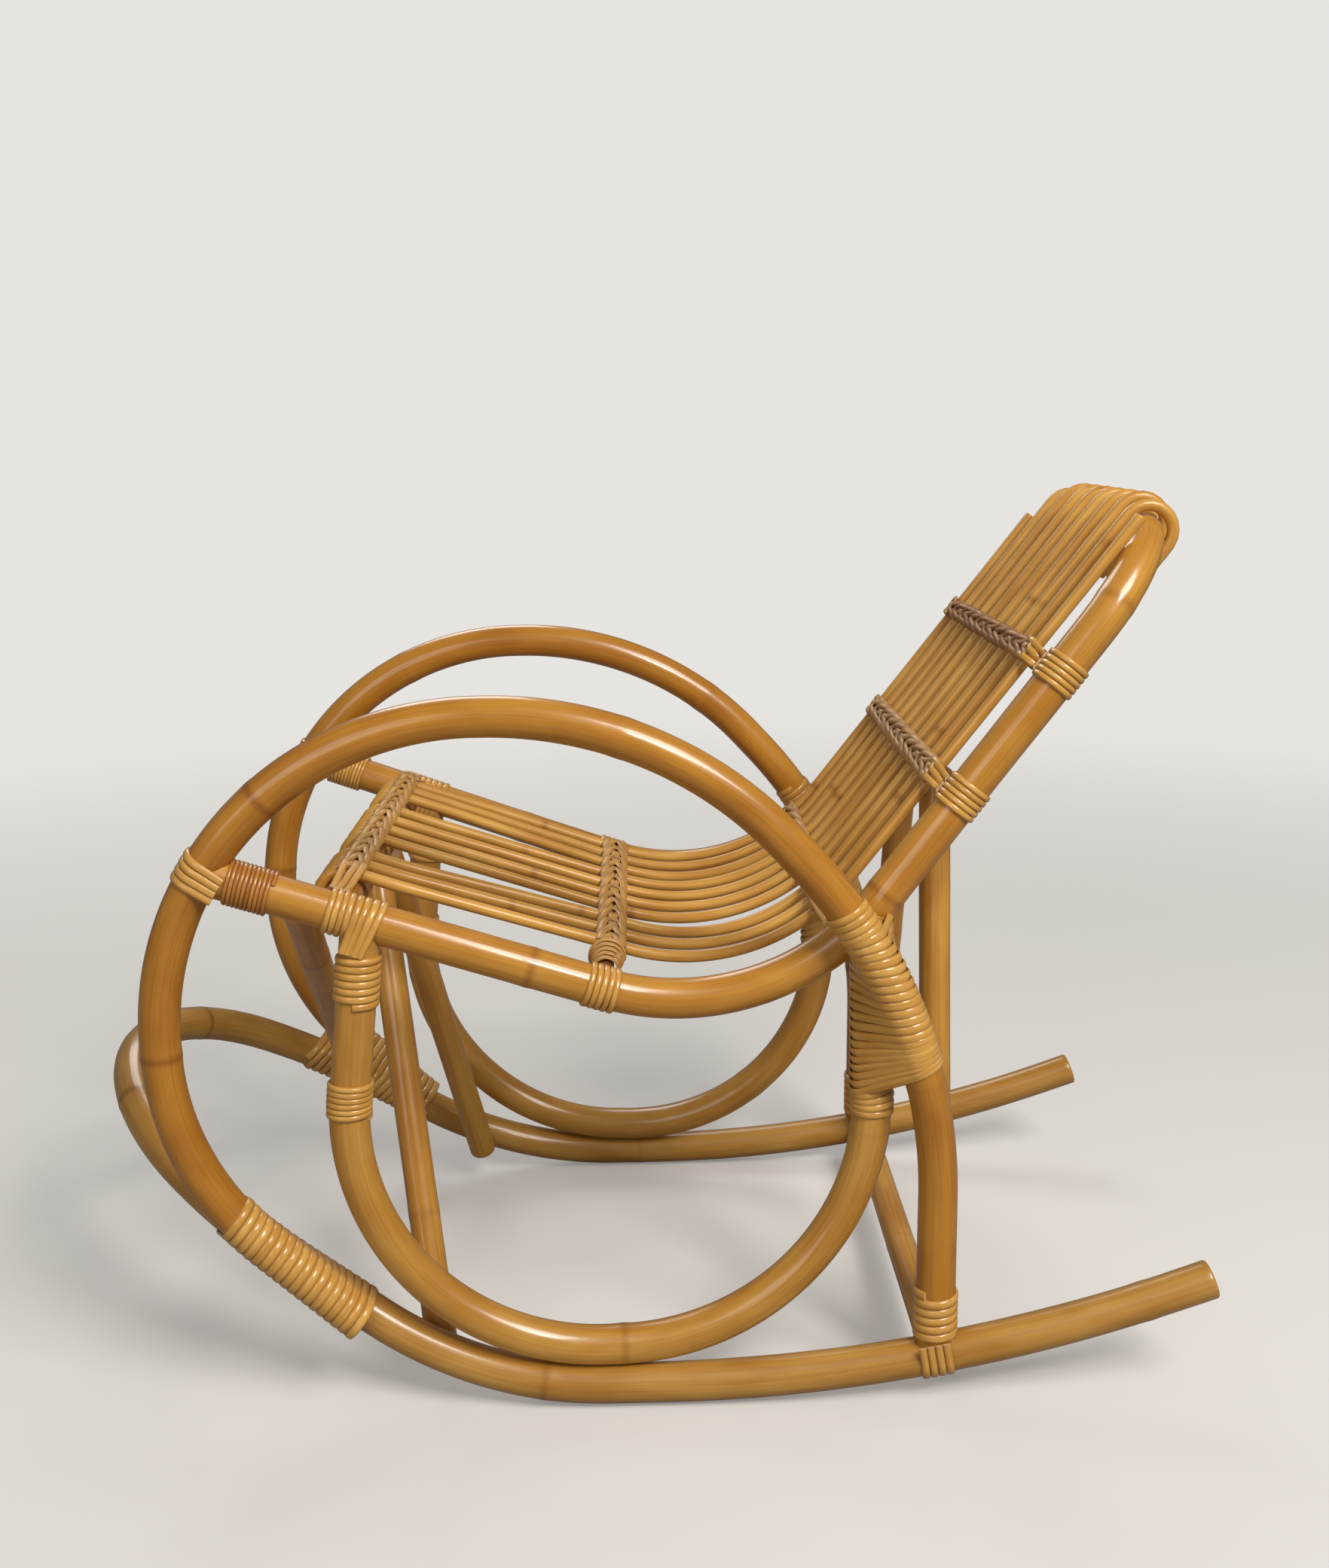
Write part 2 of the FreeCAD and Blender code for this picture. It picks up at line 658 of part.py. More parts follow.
# Front braces: the foot lies against the inner flank of the runner, the top is hollowed to the front bar.
bar_end = Vector(0, half_track, 0)
bar_wrap_tool = straight(
    "front_bar_tool",
    front_bar_middle - bar_end,
    front_bar_middle + bar_end,
    "Sizes.front_bar_diameter / 2 + Sizes.strand_diameter + 2 * Sizes.fit_gap",
)
brace_top = front_bar_middle - Vector(0, size("front_brace_top_y"), 0)
brace_place = runner_line.where_x(size("front_brace_foot_x"), 0, runner_line.length)
brace_foot = runner_line.point(brace_place)


def brace_clashes(inset):
    foot = brace_foot + Vector(0, inset, 0)
    end = foot + unit(foot - brace_top) * size("front_brace_overrun")
    axis = Part.LineSegment(brace_top, end).toShape()
    return axis.distToShape(runner_line.wire)[0] < pole_r + brace_r + gap


brace_inset = bisect(brace_clashes, 0.0, 2 * touch)
brace_foot = brace_foot + Vector(0, brace_inset, 0)
brace_foot = brace_foot + unit(brace_foot - brace_top) * size("front_brace_overrun")
for side, mirrored in SIDES:
    ends = (flip(brace_foot, mirrored), flip(brace_top, mirrored))
    brace = straight("brace_round_" + side, *ends, BRACE_R)
    nodes["front_brace_" + side] = cut("front_brace_" + side, brace, [bar_wrap_tool])

# The single diagonal brace from the left rail down to the right splice.
diagonal_top = rail_line.point(size("diagonal_place"))
diagonal_foot_place = base_line.where_x(size("diagonal_foot_x"), 0, base_line.length / 2)
diagonal_foot = flip(base_line.point(diagonal_foot_place), True)
diagonal = straight("diagonal_round", diagonal_foot, diagonal_top, BRACE_R)
splice_length = size("splice_length")
splice_tool_line = base_line.part(splice_place - splice_length, splice_place + splice_length / 2)
splice_line = doc.addObject("Part::Feature", "splice_line")
splice_line.Shape = splice_tool_line.mirrored(True).wire
splice_section = doc.addObject("Part::Circle", "splice_section")
splice_section.setExpression("Radius", "Sizes.pole_diameter / 2 + Sizes.strand_diameter + 2 * Sizes.fit_gap")
splice_begin, splice_direction = splice_tool_line.mirrored(True).at(0)
splice_section.Placement = Placement(splice_begin, Rotation(UP, splice_direction))
splice_tool = doc.addObject("Part::Sweep", "splice_tool")
splice_tool.Sections = [splice_section]
splice_tool.Spine = (splice_line, [])
splice_tool.Solid = True
nodes["front_diagonal_brace"] = cut("front_diagonal_brace", diagonal, [rail_tool, splice_tool])

# Rods: curl round the front bar, lie on the bars and wrap over the head rail.
front_groups = []
for offset in (-1, 0, 1):
    steps = (-1, 0, 1) if offset else (-1.5, -0.5, 0.5, 1.5)
    pitch = size("front_group_pitch") if offset else size("front_middle_pitch")
    for step in steps:
        group_middle = size("front_rod_shift") + offset * size("front_group_offset")
        front_groups.append(group_middle + step * pitch)
rod_count = len(front_groups)
rod_step = size("rod_spread") / (rod_count - 1)
back_rows = [rod_step * index - size("rod_spread") / 2 for index in range(rod_count)]
rod_rise = pole_r + rod_r + gap
curl_r = size("front_bar_diameter") / 2 + rod_r + gap
loop_rise = rod_rise + size("rod_head_slack")
seat_heading = profile.at(0)[1]
back_heading = profile.at(profile.length)[1]
seat_up = Vector(-seat_heading.z, 0, seat_heading.x)
back_up = Vector(-back_heading.z, 0, back_heading.x)
curl = math.radians(size("rod_curl_angle"))
curl_corner = front_bar_middle + seat_up * curl_r - seat_heading * (curl_r * math.tan(curl / 2))
curl_heading = seat_heading * -math.cos(curl) - seat_up * math.sin(curl)
curl_end = curl_corner + curl_heading * (curl_r * math.tan(curl / 2) + size("rod_front_tail"))
sway_start = size("front_bar_place") + size("rod_sway_start")
seat_corner_gap = math.tan(seat_heading.getAngle(back_heading) / 2) * rod_rise
seat_corner = profile_points[1] + seat_up * rod_rise - seat_heading * seat_corner_gap
head_point = profile_points[2]
for index, (front_y, back_y) in enumerate(zip(front_groups, back_rows)):
    aside = Vector(0, front_y, 0)
    beside = Vector(0, back_y, 0)
    upper = size("back_upper_place")
    head_place = rail_line.where(beside, Vector(0, 1, 0), upper, rail_line.length - upper)
    rail_top = rail_line.point(head_place)
    drop = (head_point - rail_top).dot(back_heading)
    crest = head_point - back_heading * drop
    points = [
        curl_end + aside,
        curl_corner + aside,
        on_profile(sway_start, rod_rise) + aside,
        on_profile(size("middle_bar_place"), rod_rise) + beside,
        seat_corner + beside,
    ]
    sway_r = size("rod_sway_radius")
    radii = [curl_r, sway_r, sway_r, size("seat_bend_radius") - rod_rise]
    if drop > pole_r:
        overrun = size("rod_left_overrun" if back_y < 0 else "rod_right_overrun")
        points.append(crest + beside + back_up * rod_rise + back_heading * overrun)
    else:
        points.append(crest + beside + back_up * rod_rise + back_heading * loop_rise)
        points.append(crest + beside - back_up * rod_rise + back_heading * loop_rise)
        points.append(crest + beside - back_up * rod_rise - back_heading * size("rod_head_tail"))
        radii += [rod_rise, rod_rise]
    name = "rod_%02d" % (index + 1)
    nodes[name] = pole(name + "_pole", bent_path(points, radii), "rod_diameter")

# Windings of the two sides.
lead = size("strand_diameter")
splice_first = base_line.point(splice_place + size("splice_start"))
splice_normal = unit(arm_line.at(arm_line.length)[1])
splice_ranges = (
    (arm_line.length * TOE_SHARE, arm_line.length + touch),
    (splice_place - splice_length - touch, splice_place + touch * 2),
)
splice_turns = turns_round_two(
    arm_line,
    base_line,
    splice_first,
    splice_normal,
    splice_ranges,
    splice_length / size("splice_turns"),
    size("splice_turns"),
    wrap_r,
)
tilt = math.radians(size("junction_tilt"))
junction_normal = Vector(math.sin(tilt), 0, -math.cos(tilt))
junction_first = hoop_tops[1] + junction_normal * size("junction_drop")
junction_ranges = (
    (0, arm_line.length * LEG_SHARE),
    (side_line.length * HOOP_BACK_SHARE, side_line.length),
)
junction_r = pole_r / math.cos(tilt) + strand_r + gap
junction_turns = turns_round_two(
    arm_line,
    side_line,
    junction_first,
    junction_normal,
    junction_ranges,
    size("junction_pitch"),
    size("junction_turns"),
    junction_r,
)
WINDINGS = [
    ("splice_winding", biarc_path(splice_turns, lead), strand_r),
    ("junction_winding", biarc_path(junction_turns, lead), strand_r),
]
fine_r = size("fine_diameter") / 2
for label, line, place, sizes, radius in (
    ("hoop_top_winding", side_line, size("hoop_top_drop"), "hoop_top", strand_r),
    ("hoop_band", side_line, size("hoop_band_drop"), "hoop_band", strand_r),
    ("rail_wrap", rail_line, size("rail_wrap_place"), "rail_wrap", fine_r),
    ("foot_winding", arm_line, size("foot_rise"), "foot", strand_r),
):
    pitch = size(sizes + "_pitch")
    turns_list = turns_round(line, place, pitch, size(sizes + "_turns"), pole_r + radius + gap)
    WINDINGS.append((label, biarc_path(turns_list, 2 * radius), radius))


def laid_strands(path, place, pitch, count, cross_section, radii):
    """One strand laid to and fro across a pole, count times, through the points of its cross section."""
    points = []
    bends = []
    for index in range(count):
        centre, direction = path.at(place + pitch * index)
        over = direction.cross(Vector(0, 1, 0))
        over = over if over.z > 0 else over * -1
        row = [centre + Vector(0, y, 0) + over * z for y, z in cross_section]
        turn_r = pitch / 2
        bends += [turn_r] + (radii if index % 2 == 0 else radii[::-1]) + [turn_r]
        points += row if index % 2 == 0 else row[::-1]
    return bent_path(points, bends[1:-1])


leg = size("saddle_leg")
saddle_place = size("hoop_front_place") - size("saddle_pitch") / 2
saddle_count = int(size("saddle_strands"))
saddle_section = [(wrap_r, -leg), (wrap_r, wrap_r), (-wrap_r, wrap_r), (-wrap_r, -leg)]
saddle = laid_strands(
    rail_line, saddle_place, size("saddle_pitch"), saddle_count, saddle_section, [wrap_r, wrap_r]
)
WINDINGS.append(("rail_saddle", saddle, strand_r))

rail_end_leg = size("rail_end_leg")
rail_end_count = int(size("rail_end_strands"))
rail_end_place = rail_front_place - size("rail_end_pitch") * (rail_end_count - 1) / 2
inner_r = wrap_r + rail_line.at(0)[1].y * (rail_end_leg + size("rail_end_pitch"))
rail_end_section = [(inner_r, -rail_end_leg), (inner_r, wrap_r), (-wrap_r, wrap_r), (-wrap_r, -rail_end_leg)]
rail_end = laid_strands(
    arm_line, rail_end_place, size("rail_end_pitch"), rail_end_count, rail_end_section, [wrap_r, wrap_r]
)
WINDINGS.append(("rail_end_lashing", rail_end, strand_r))

strap_rise = size("strap_rise")
corner = wrap_r * math.tan(math.pi / 8)
climb = (corner + size("strap_pitch")) * math.sqrt(0.5)
strap_section = [
    (-wrap_r, strap_rise),
    (-wrap_r, -wrap_r),
    (corner, -wrap_r),
    (corner + climb, climb - wrap_r),
]
strap_count = int(size("strap_strands"))
leg_place = runner_line.where_x(size("leg_x"), 0, runner_line.length)
strap_place = leg_place - size("strap_pitch") * (strap_count - 1) / 2
strap = laid_strands(
    runner_line, strap_place, size("strap_pitch"), strap_count, strap_section, [wrap_r, wrap_r]
)
WINDINGS.append(("foot_strap", strap, strand_r))


def band(rail_place):
    """Turns round the rail on both sides of a bar; the strand steps over the bar's end on the outside."""
    clear = size("band_clear")
    pitch = size("band_pitch")
    jump = clear - pitch / 4
    step = 4 * BAND_TURNS + 2

    def along(quarter):
        if quarter <= step - 1:
            return pitch * (quarter / 4 - BAND_TURNS) - clear
        if quarter < step + 1:
            return -jump * math.cos(math.pi * (quarter - step + 1) / 2)
        return clear + pitch * (quarter - step - 2) / 4

    def place(quarter):
        centre, direction = rail_line.at(rail_place + along(quarter))
        across = unit(Vector(0, 1, 0) - direction * direction.y)
        over = across.cross(direction)
        angle = quarter * math.pi / 2
        return centre + (across * math.cos(angle) + over * math.sin(angle)) * wrap_r

    return biarc_path(stations_of(place, range(2 * step + 1)), lead)


for label, place in (
    ("middle_bar_band", "middle_bar_place"),
    ("back_middle_band", "back_middle_place"),
    ("back_upper_band", "back_upper_place"),
):
    WINDINGS.append((label, band(bar_axis(place, "bar_diameter")[1]), strand_r))
winding_lines = {}
for label, line, radius in WINDINGS:
    for side, mirrored in SIDES:
        winding_lines[label + "_" + side] = line.mirrored(mirrored)
        strand(label + "_" + side, line.mirrored(mirrored), radius)

# Lashings: one strand per bar, over each rod and under the bar.
for bar_name, place, diameter, lashing in BARS:
    middle, rail_place = bar_axis(place, diameter)
    along = profile.at(size(place))[1]
    over = Vector(-along.z, 0, along.x)
    below = size(diameter) / 2 + strand_r + gap
    top = size(diameter) / 2 + 2 * gap + size("rod_diameter") + strand_r
    points = []
    bends = []
    for y in front_groups if lashing == "lashing_front" else back_rows:
        before = middle + Vector(0, y - size("lashing_reach"), 0) - along * below
        after = middle + Vector(0, y + size("lashing_reach"), 0) + along * below
        points += [before - over * below, before + over * top, after + over * top, after - over * below]
        bends += [below, size("lashing_radius"), size("lashing_radius"), below]
    line = bent_path(points, bends[1:-1])
    winding_lines[lashing] = line
    strand(lashing, line, strand_r)

# Least air between a strand's own turns, measured between points on its centre line.
for label, line in sorted(winding_lines.items()):
    step = strand_r
    spots = [line.point(step * index) for index in range(int(line.length / step) + 1)]
    least = min(
        (spots[index] - spots[other]).Length
        for index in range(len(spots))
        for other in range(index + SAME_TURN, min(index + NEXT_TURNS, len(spots)))
    )
    print("%s: least centre distance to itself %.2f" % (label, least))

doc.recompute()
os.makedirs("parts", exist_ok=True)
for item in doc.Objects:
    if "Invalid" in item.State or "Error" in item.State:
        raise RuntimeError(item.Name + " did not compute")
for name, item in nodes.items():
    if item.Shape.isNull() or not item.Shape.isValid():
        raise RuntimeError(name + " has no valid shape")
    expected = len(item.Links) if item.TypeId == "Part::Compound" else 1
    if len(item.Shape.Solids) != expected:
        raise RuntimeError("%s has %d solids" % (name, len(item.Shape.Solids)))
    item.Label = name
    item.Shape.exportStep("parts/%s.step" % name)
print("wrote %d parts" % len(nodes))
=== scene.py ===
import bisect
import math
import random

import bmesh
import bpy
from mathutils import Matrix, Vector


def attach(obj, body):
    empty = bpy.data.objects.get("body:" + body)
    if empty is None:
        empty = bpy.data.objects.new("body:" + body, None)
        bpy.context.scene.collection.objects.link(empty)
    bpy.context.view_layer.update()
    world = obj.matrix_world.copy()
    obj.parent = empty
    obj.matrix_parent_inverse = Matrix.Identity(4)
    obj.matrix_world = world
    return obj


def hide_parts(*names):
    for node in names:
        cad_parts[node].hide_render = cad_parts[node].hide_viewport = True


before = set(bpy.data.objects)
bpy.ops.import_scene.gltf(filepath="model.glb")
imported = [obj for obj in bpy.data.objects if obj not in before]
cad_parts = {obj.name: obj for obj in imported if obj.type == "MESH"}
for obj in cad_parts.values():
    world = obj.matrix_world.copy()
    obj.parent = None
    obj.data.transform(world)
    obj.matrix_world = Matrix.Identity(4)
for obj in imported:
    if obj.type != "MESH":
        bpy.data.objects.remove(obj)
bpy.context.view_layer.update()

# Runners: two rattan poles, steamed and bent, that curve up at the tail and rise in front to the splice.
# A pole is modelled straight, with the swellings of its joints, and then bent along its line.
# The lacquered skin keeps the grain of the straight pole, so that it follows the bends.
MM = 0.001
POLE_R = 13.0
LINE_STEP = 3.0  # mm between the points of a bent line
RING_STEP = 5.0  # mm between the cuts of a pole
RING_REACH = 0.0016  # m, half the width of the dark ring at a joint of the cane
SWELL, SWELL_REACH = 0.026, 0.0042  # a joint stands out by this share of the radius, over this length in m
UNEVEN = ((0.006, 38.0), (0.005, 17.0))  # shares of the radius, and waves in radians per m
OVAL, OVAL_TWIST = 0.009, 6.0


class Line:
    """Centre line of a bent pole: points in mm and the distance along it to each."""

    def __init__(self, points):
        self.points = points
        self.places = [0.0]
        for before, after in zip(points, points[1:]):
            self.places.append(self.places[-1] + (after - before).length)
        self.length = self.places[-1]

    def at(self, place):
        """Point and direction at a distance along the line, straight on past its ends."""
        index = min(max(bisect.bisect_left(self.places, place) - 1, 0), len(self.points) - 2)
        run = self.points[index + 1] - self.points[index]
        return self.points[index] + run.normalized() * (place - self.places[index]), run.normalized()

    def part(self, start, end):
        count = max(2, round((end - start) / LINE_STEP))
        return Line([self.at(start + (end - start) * step / count)[0] for step in range(count + 1)])

    def other_side(self):
        return Line([Vector((point.x, -point.y, point.z)) for point in self.points])

    def crossing(self, spot, normal, start, end):
        """Point and direction between two distances where the line goes through a plane."""
        side = (self.at(start)[0] - spot).dot(normal) < 0
        for _ in range(30):
            middle = (start + end) / 2
            if ((self.at(middle)[0] - spot).dot(normal) < 0) == side:
                start = middle
            else:
                end = middle
        return self.at(start)


def bent_line(corners, bends):
    """Straight runs with a round bend at each corner, as the pole is bent over its former."""
    corners = [Vector(corner) for corner in corners]
    runs = [after - before for before, after in zip(corners, corners[1:])]
    turns = [first.angle(second) for first, second in zip(runs, runs[1:])]
    reaches = [0.0] + [bend * math.tan(turn / 2) for bend, turn in zip(bends, turns)] + [0.0]
    room = []
    for run, first, second in zip(runs, reaches, reaches[1:]):
        room.append(min(1.0, 0.998 * run.length / max(first + second, 1e-9)))
    points = [corners[0]]
    for index, turn in enumerate(turns):
        reach = reaches[index + 1] * min(room[index], room[index + 1])
        if reach < 1e-6:
            continue
        heading = runs[index].normalized()
        leaving = runs[index + 1].normalized()
        inward = (leaving - heading * math.cos(turn)) / math.sin(turn)
        radius = reach / math.tan(turn / 2)
        start = corners[index + 1] - heading * reach
        points.append(start)
        steps = max(4, math.ceil(radius * turn / LINE_STEP))
        for step in range(1, steps + 1):
            angle = turn * step / steps
            ahead = start + heading * (radius * math.sin(angle))
            points.append(ahead + inward * (radius * (1 - math.cos(angle))))
    points.append(corners[-1])
    whole = Line(points)
    return whole.part(0, whole.length)


def straight_stock(name, length, width, thickness, sides, rings):
    """A straight round or flattened stick along X, in metres, with cuts along its length."""
    bpy.ops.object.select_all(action="DESELECT")
    bpy.ops.mesh.primitive_cylinder_add(
        vertices=sides, radius=1, depth=length, end_fill_type="NGON",
        location=(length / 2, 0, 0), rotation=(0, math.pi / 2, 0),
    )
    stick = bpy.context.object
    stick.name = stick.data.name = name
    bpy.ops.object.transform_apply(location=True, rotation=True, scale=True)
    bpy.ops.object.mode_set(mode="EDIT")
    bpy.ops.transform.resize(value=(1, width / 2, thickness / 2), center_override=(length / 2, 0, 0))
    bpy.ops.mesh.select_mode(type="EDGE")
    bpy.ops.mesh.select_all(action="DESELECT")
    shape = bmesh.from_edit_mesh(stick.data)
    for edge in shape.edges:
        edge.select_set(abs(edge.verts[0].co.x - edge.verts[1].co.x) > length / 2)
    bmesh.update_edit_mesh(stick.data)
    bpy.ops.mesh.subdivide_edgering(number_cuts=rings, interpolation="LINEAR", smoothness=0)
    bpy.ops.object.mode_set(mode="OBJECT")
    return stick


def skin_values(stick):
    """The two values of the skin that its lacquer reads: the straight place, and a darkening that is the
    joint of the cane on a pole and painted shade at the edges of a strip.
    """
    stick.data.attributes.new("straight", "FLOAT_VECTOR", "POINT")
    stick.data.attributes.new("joint", "FLOAT", "POINT")
    return stick.data.attributes["straight"], stick.data.attributes["joint"]


def keep_straight(stick, offset, rings=()):
    """Keeps the straight places of the skin for the grain, and how near each is to a joint of the cane."""
    places = [vertex.co.copy() for vertex in stick.data.vertices]
    straight, joint = skin_values(stick)
    for index, place in enumerate(places):
        straight.data[index].vector = (place.x + offset, place.y, place.z)
        nearest = min([abs(place.x - ring) for ring in rings] + [1.0])
        joint.data[index].value = math.exp(-(nearest / RING_REACH) ** 2)


def bend_along(stick, line):
    """Bends a straight stick along a line with a guide curve."""
    guide = bpy.data.curves.new(stick.name + "_guide", "CURVE")
    guide.dimensions = "3D"
    run = guide.splines.new("POLY")
    run.points.add(len(line.points) - 1)
    for spot, point in zip(run.points, line.points):
        spot.co = (*(point * MM), 1)
    carrier = bpy.data.objects.new(guide.name, guide)
    bpy.context.scene.collection.objects.link(carrier)
    bend = stick.modifiers.new("Bend", "CURVE")
    bend.object = carrier
    bend.deform_axis = "POS_X"
    bpy.context.view_layer.objects.active = stick
    bpy.ops.object.modifier_apply(modifier=bend.name)
    bpy.data.objects.remove(carrier)


def bent_pole(name, line, radius, joints=(), sides=24, end_round=1.2, taper=None, seed=0):
    """A rattan pole: slightly uneven, swollen at its joints, ends rounded off, bent along its line."""
    length = line.length * MM
    rings = max(3, round(line.length / RING_STEP))
    pole = straight_stock(name, length, 2 * radius * MM, 2 * radius * MM, sides, rings)
    bpy.ops.object.mode_set(mode="EDIT")
    bpy.ops.mesh.select_all(action="DESELECT")
    shape = bmesh.from_edit_mesh(pole.data)
    for edge in shape.edges:
        ends = [vertex.co.x for vertex in edge.verts]
        edge.select_set(max(ends) < 1e-6 or min(ends) > length - 1e-6)
    bmesh.update_edit_mesh(pole.data)
    bpy.ops.mesh.bevel(offset=end_round * MM, segments=3, affect="EDGES")
    bpy.ops.object.mode_set(mode="OBJECT")
    chance = random.Random(seed)
    phases = [chance.uniform(0, math.tau) for _ in range(4)]
    places = [joint * MM for joint in joints]
    for vertex in pole.data.vertices:
        x = vertex.co.x
        angle = math.atan2(vertex.co.z, vertex.co.y)
        swell = sum(SWELL * math.exp(-((x - place) / SWELL_REACH) ** 2) for place in places)
        uneven = sum(share * math.sin(wave * x + phase) for (share, wave), phase in zip(UNEVEN, phases))
        oval = OVAL * math.cos(2 * angle + OVAL_TWIST * x + phases[2])
        factor = 1 + swell + uneven + oval
        if taper:
            factor *= taper(x / MM)
        vertex.co.y *= factor
        vertex.co.z *= factor
    keep_straight(pole, chance.uniform(0, 9), places)
    bend_along(pole, line)
    bpy.ops.object.shade_smooth_by_angle(angle=math.radians(50))
    return pole


GRAIN = (9, 620, 620)  # waves per m along and across the cane
FLECKS = (60, 1500, 1500)


def rattan(name, pale, deep, joint, gloss=0.32, coat=0.7, streak=1.0, cloud=(16, 45, 45)):
    """Lacquered cane: long fine grain, cloudy patches, darker joints, painted shade along the edges of
    strips, and a clear coat.
    """
    finish = bpy.data.materials.new(name)
    finish.use_nodes = True
    nodes = finish.node_tree.nodes
    links = finish.node_tree.links
    shader = nodes["Principled BSDF"]
    shader.inputs["Coat Weight"].default_value = coat
    shader.inputs["Coat Roughness"].default_value = 0.15
    shader.inputs["Specular IOR Level"].default_value = 0.4
    straight = nodes.new("ShaderNodeAttribute")
    straight.attribute_name = "straight"

    def noise(stretch, detail):
        turn = nodes.new("ShaderNodeMapping")
        turn.inputs["Scale"].default_value = stretch
        links.new(straight.outputs["Vector"], turn.inputs["Vector"])
        field = nodes.new("ShaderNodeTexNoise")
        field.inputs["Scale"].default_value = 1.0
        field.inputs["Detail"].default_value = detail
        links.new(turn.outputs["Vector"], field.inputs["Vector"])
        return field.outputs["Fac"]

    def spread(value, low, high, to_low=0.0, to_high=1.0):
        reach = nodes.new("ShaderNodeMapRange")
        reach.inputs["From Min"].default_value = low
        reach.inputs["From Max"].default_value = high
        reach.inputs["To Min"].default_value = to_low
        reach.inputs["To Max"].default_value = to_high
        links.new(value, reach.inputs["Value"])
        return reach.outputs["Result"]

    def mix(kind, factor, first, second):
        blend = nodes.new("ShaderNodeMix")
        blend.data_type = "RGBA"
        blend.blend_type = kind
        for socket, value in ((blend.inputs[0], factor), (blend.inputs[6], first), (blend.inputs[7], second)):
            if hasattr(value, "is_linked"):
                links.new(value, socket)
            else:
                socket.default_value = value
        return blend.outputs[2]

    grain = noise(GRAIN, 3)
    patches = noise(cloud, 2)
    flecks = noise(FLECKS, 2)
    tone = mix("MIX", spread(patches, 0.34, 0.66), (*pale, 1), (*deep, 1))
    tone = mix("MULTIPLY", spread(grain, 0.42, 0.7, 0.0, 0.3 * streak), tone, (*joint, 1))
    tone = mix("MULTIPLY", spread(flecks, 0.6, 0.75, 0.0, 0.18 * streak), tone, (*joint, 1))
    # Darker at the joints of the cane; on a strip the same attribute paints shade along its edges, where the
    # grooves between strips lie.
    ring = nodes.new("ShaderNodeAttribute")
    ring.attribute_name = "joint"
    tone = mix("MULTIPLY", spread(ring.outputs["Fac"], 0.1, 1.0, 0.0, 0.7), tone, (*joint, 1))
    links.new(tone, shader.inputs["Base Color"])
    links.new(spread(grain, 0.3, 0.7, gloss * 0.8, gloss * 1.35), shader.inputs["Roughness"])
    bump = nodes.new("ShaderNodeBump")
    bump.inputs["Strength"].default_value = 0.22
    bump.inputs["Distance"].default_value = 0.0004
    links.new(grain, bump.inputs["Height"])
    links.new(bump.outputs["Normal"], shader.inputs["Normal"])
    return finish


cut_end = bpy.data.materials.new("sawn_end")
cut_end.use_nodes = True
end_nodes = cut_end.node_tree.nodes
end_links = cut_end.node_tree.links
end_place = end_nodes.new("ShaderNodeAttribute")
end_place.attribute_name = "straight"
pores = end_nodes.new("ShaderNodeTexVoronoi")
pores.inputs["Scale"].default_value = 1100.0
end_links.new(end_place.outputs["Vector"], pores.inputs["Vector"])
pore_tone = end_nodes.new("ShaderNodeValToRGB")
pore_tone.color_ramp.elements[0].color = (0.2, 0.1, 0.04, 1)
pore_tone.color_ramp.elements[1].color = (0.62, 0.4, 0.2, 1)
pore_tone.color_ramp.elements[1].position = 0.45
end_links.new(pores.outputs["Distance"], pore_tone.inputs["Fac"])
end_links.new(pore_tone.outputs["Color"], end_nodes["Principled BSDF"].inputs["Base Color"])
end_nodes["Principled BSDF"].inputs["Roughness"].default_value = 0.7


def place_piece(piece, finish, slot, *nodes):
    """Gives a piece its finish, with bare wood on the sawn ends, and lets it stand for its CAD nodes."""
    piece.data.materials.clear()
    piece.data.materials.append(finish)
    piece.data.materials.append(cut_end)
    for face in piece.data.polygons:
        face.material_index = 1 if len(face.vertices) > 4 else 0
    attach(piece, "root")
    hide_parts(*nodes)


runner_skin = rattan("runner_lacquer", (0.56, 0.302, 0.064), (0.44, 0.21, 0.031), (0.46, 0.27, 0.1))
base_corners = [
    (381.0, -185.0, 80.2),
    (189.5, -185.0, 13.0),
    (-104.5, -185.0, 13.0),
    (-268.8, -156.3, 118.3),
    (-372.4, -89.7, 188.9),
]
base_bends = [1050.0, 280.0, 300.0, 152.0]
other_half = [(x, -y, z) for x, y, z in base_corners[::-1]]
base_line = bent_line(base_corners + other_half, base_bends + base_bends[::-1])
SPLICE_PLACE = 687.1
SIDES = (("left", False), ("right", True))
for seed, (side, mirrored) in enumerate(SIDES):
    line = base_line.part(0, SPLICE_PLACE)
    line = line.other_side() if mirrored else line
    joints = (390, 118, 610) if mirrored else (47, 452, 655)
    runner = bent_pole("runner_pole_" + side, line, POLE_R, joints, end_round=2.0, seed=11 + seed)
    place_piece(runner, runner_skin, "runner_pole", "runner_" + side)

# Front bow: one pole bent round in front from splice to splice, butted on the runner ends under the binding.
# The same honey lacquer as the runners.
bow_line = base_line.part(SPLICE_PLACE + 0.2, base_line.length - SPLICE_PLACE - 0.2)
bow = bent_pole("front_bow_pole", bow_line, POLE_R, (128, 300), seed=21)
place_piece(bow, runner_skin, "runner_pole", "front_bow")

# Arm hoops: one pole a side, from its foot on the runner up the leg, over the arm and down the front post,
# ending in a long toe that is shaved flat and laid along the runner inside the splice. Orange-brown lacquer.
arm_skin = rattan("arm_lacquer", (0.54, 0.244, 0.025), (0.42, 0.164, 0.012), (0.46, 0.25, 0.08))
arm_corners = [
    (196.5, -185.0, 29.6),
    (196.5, -185.0, 275.0),
    (21.7, -185.0, 467.0),
    (-302.0, -185.0, 467.0),
    (-302.0, -185.0, 173.0),
    (-184.3, -185.0, 64.2),
]
arm_line = bent_line(arm_corners, [340.0, 250.0, 208.0, 183.0])
TOE_LENGTH, TOE_THINNED = 90.0, 0.45


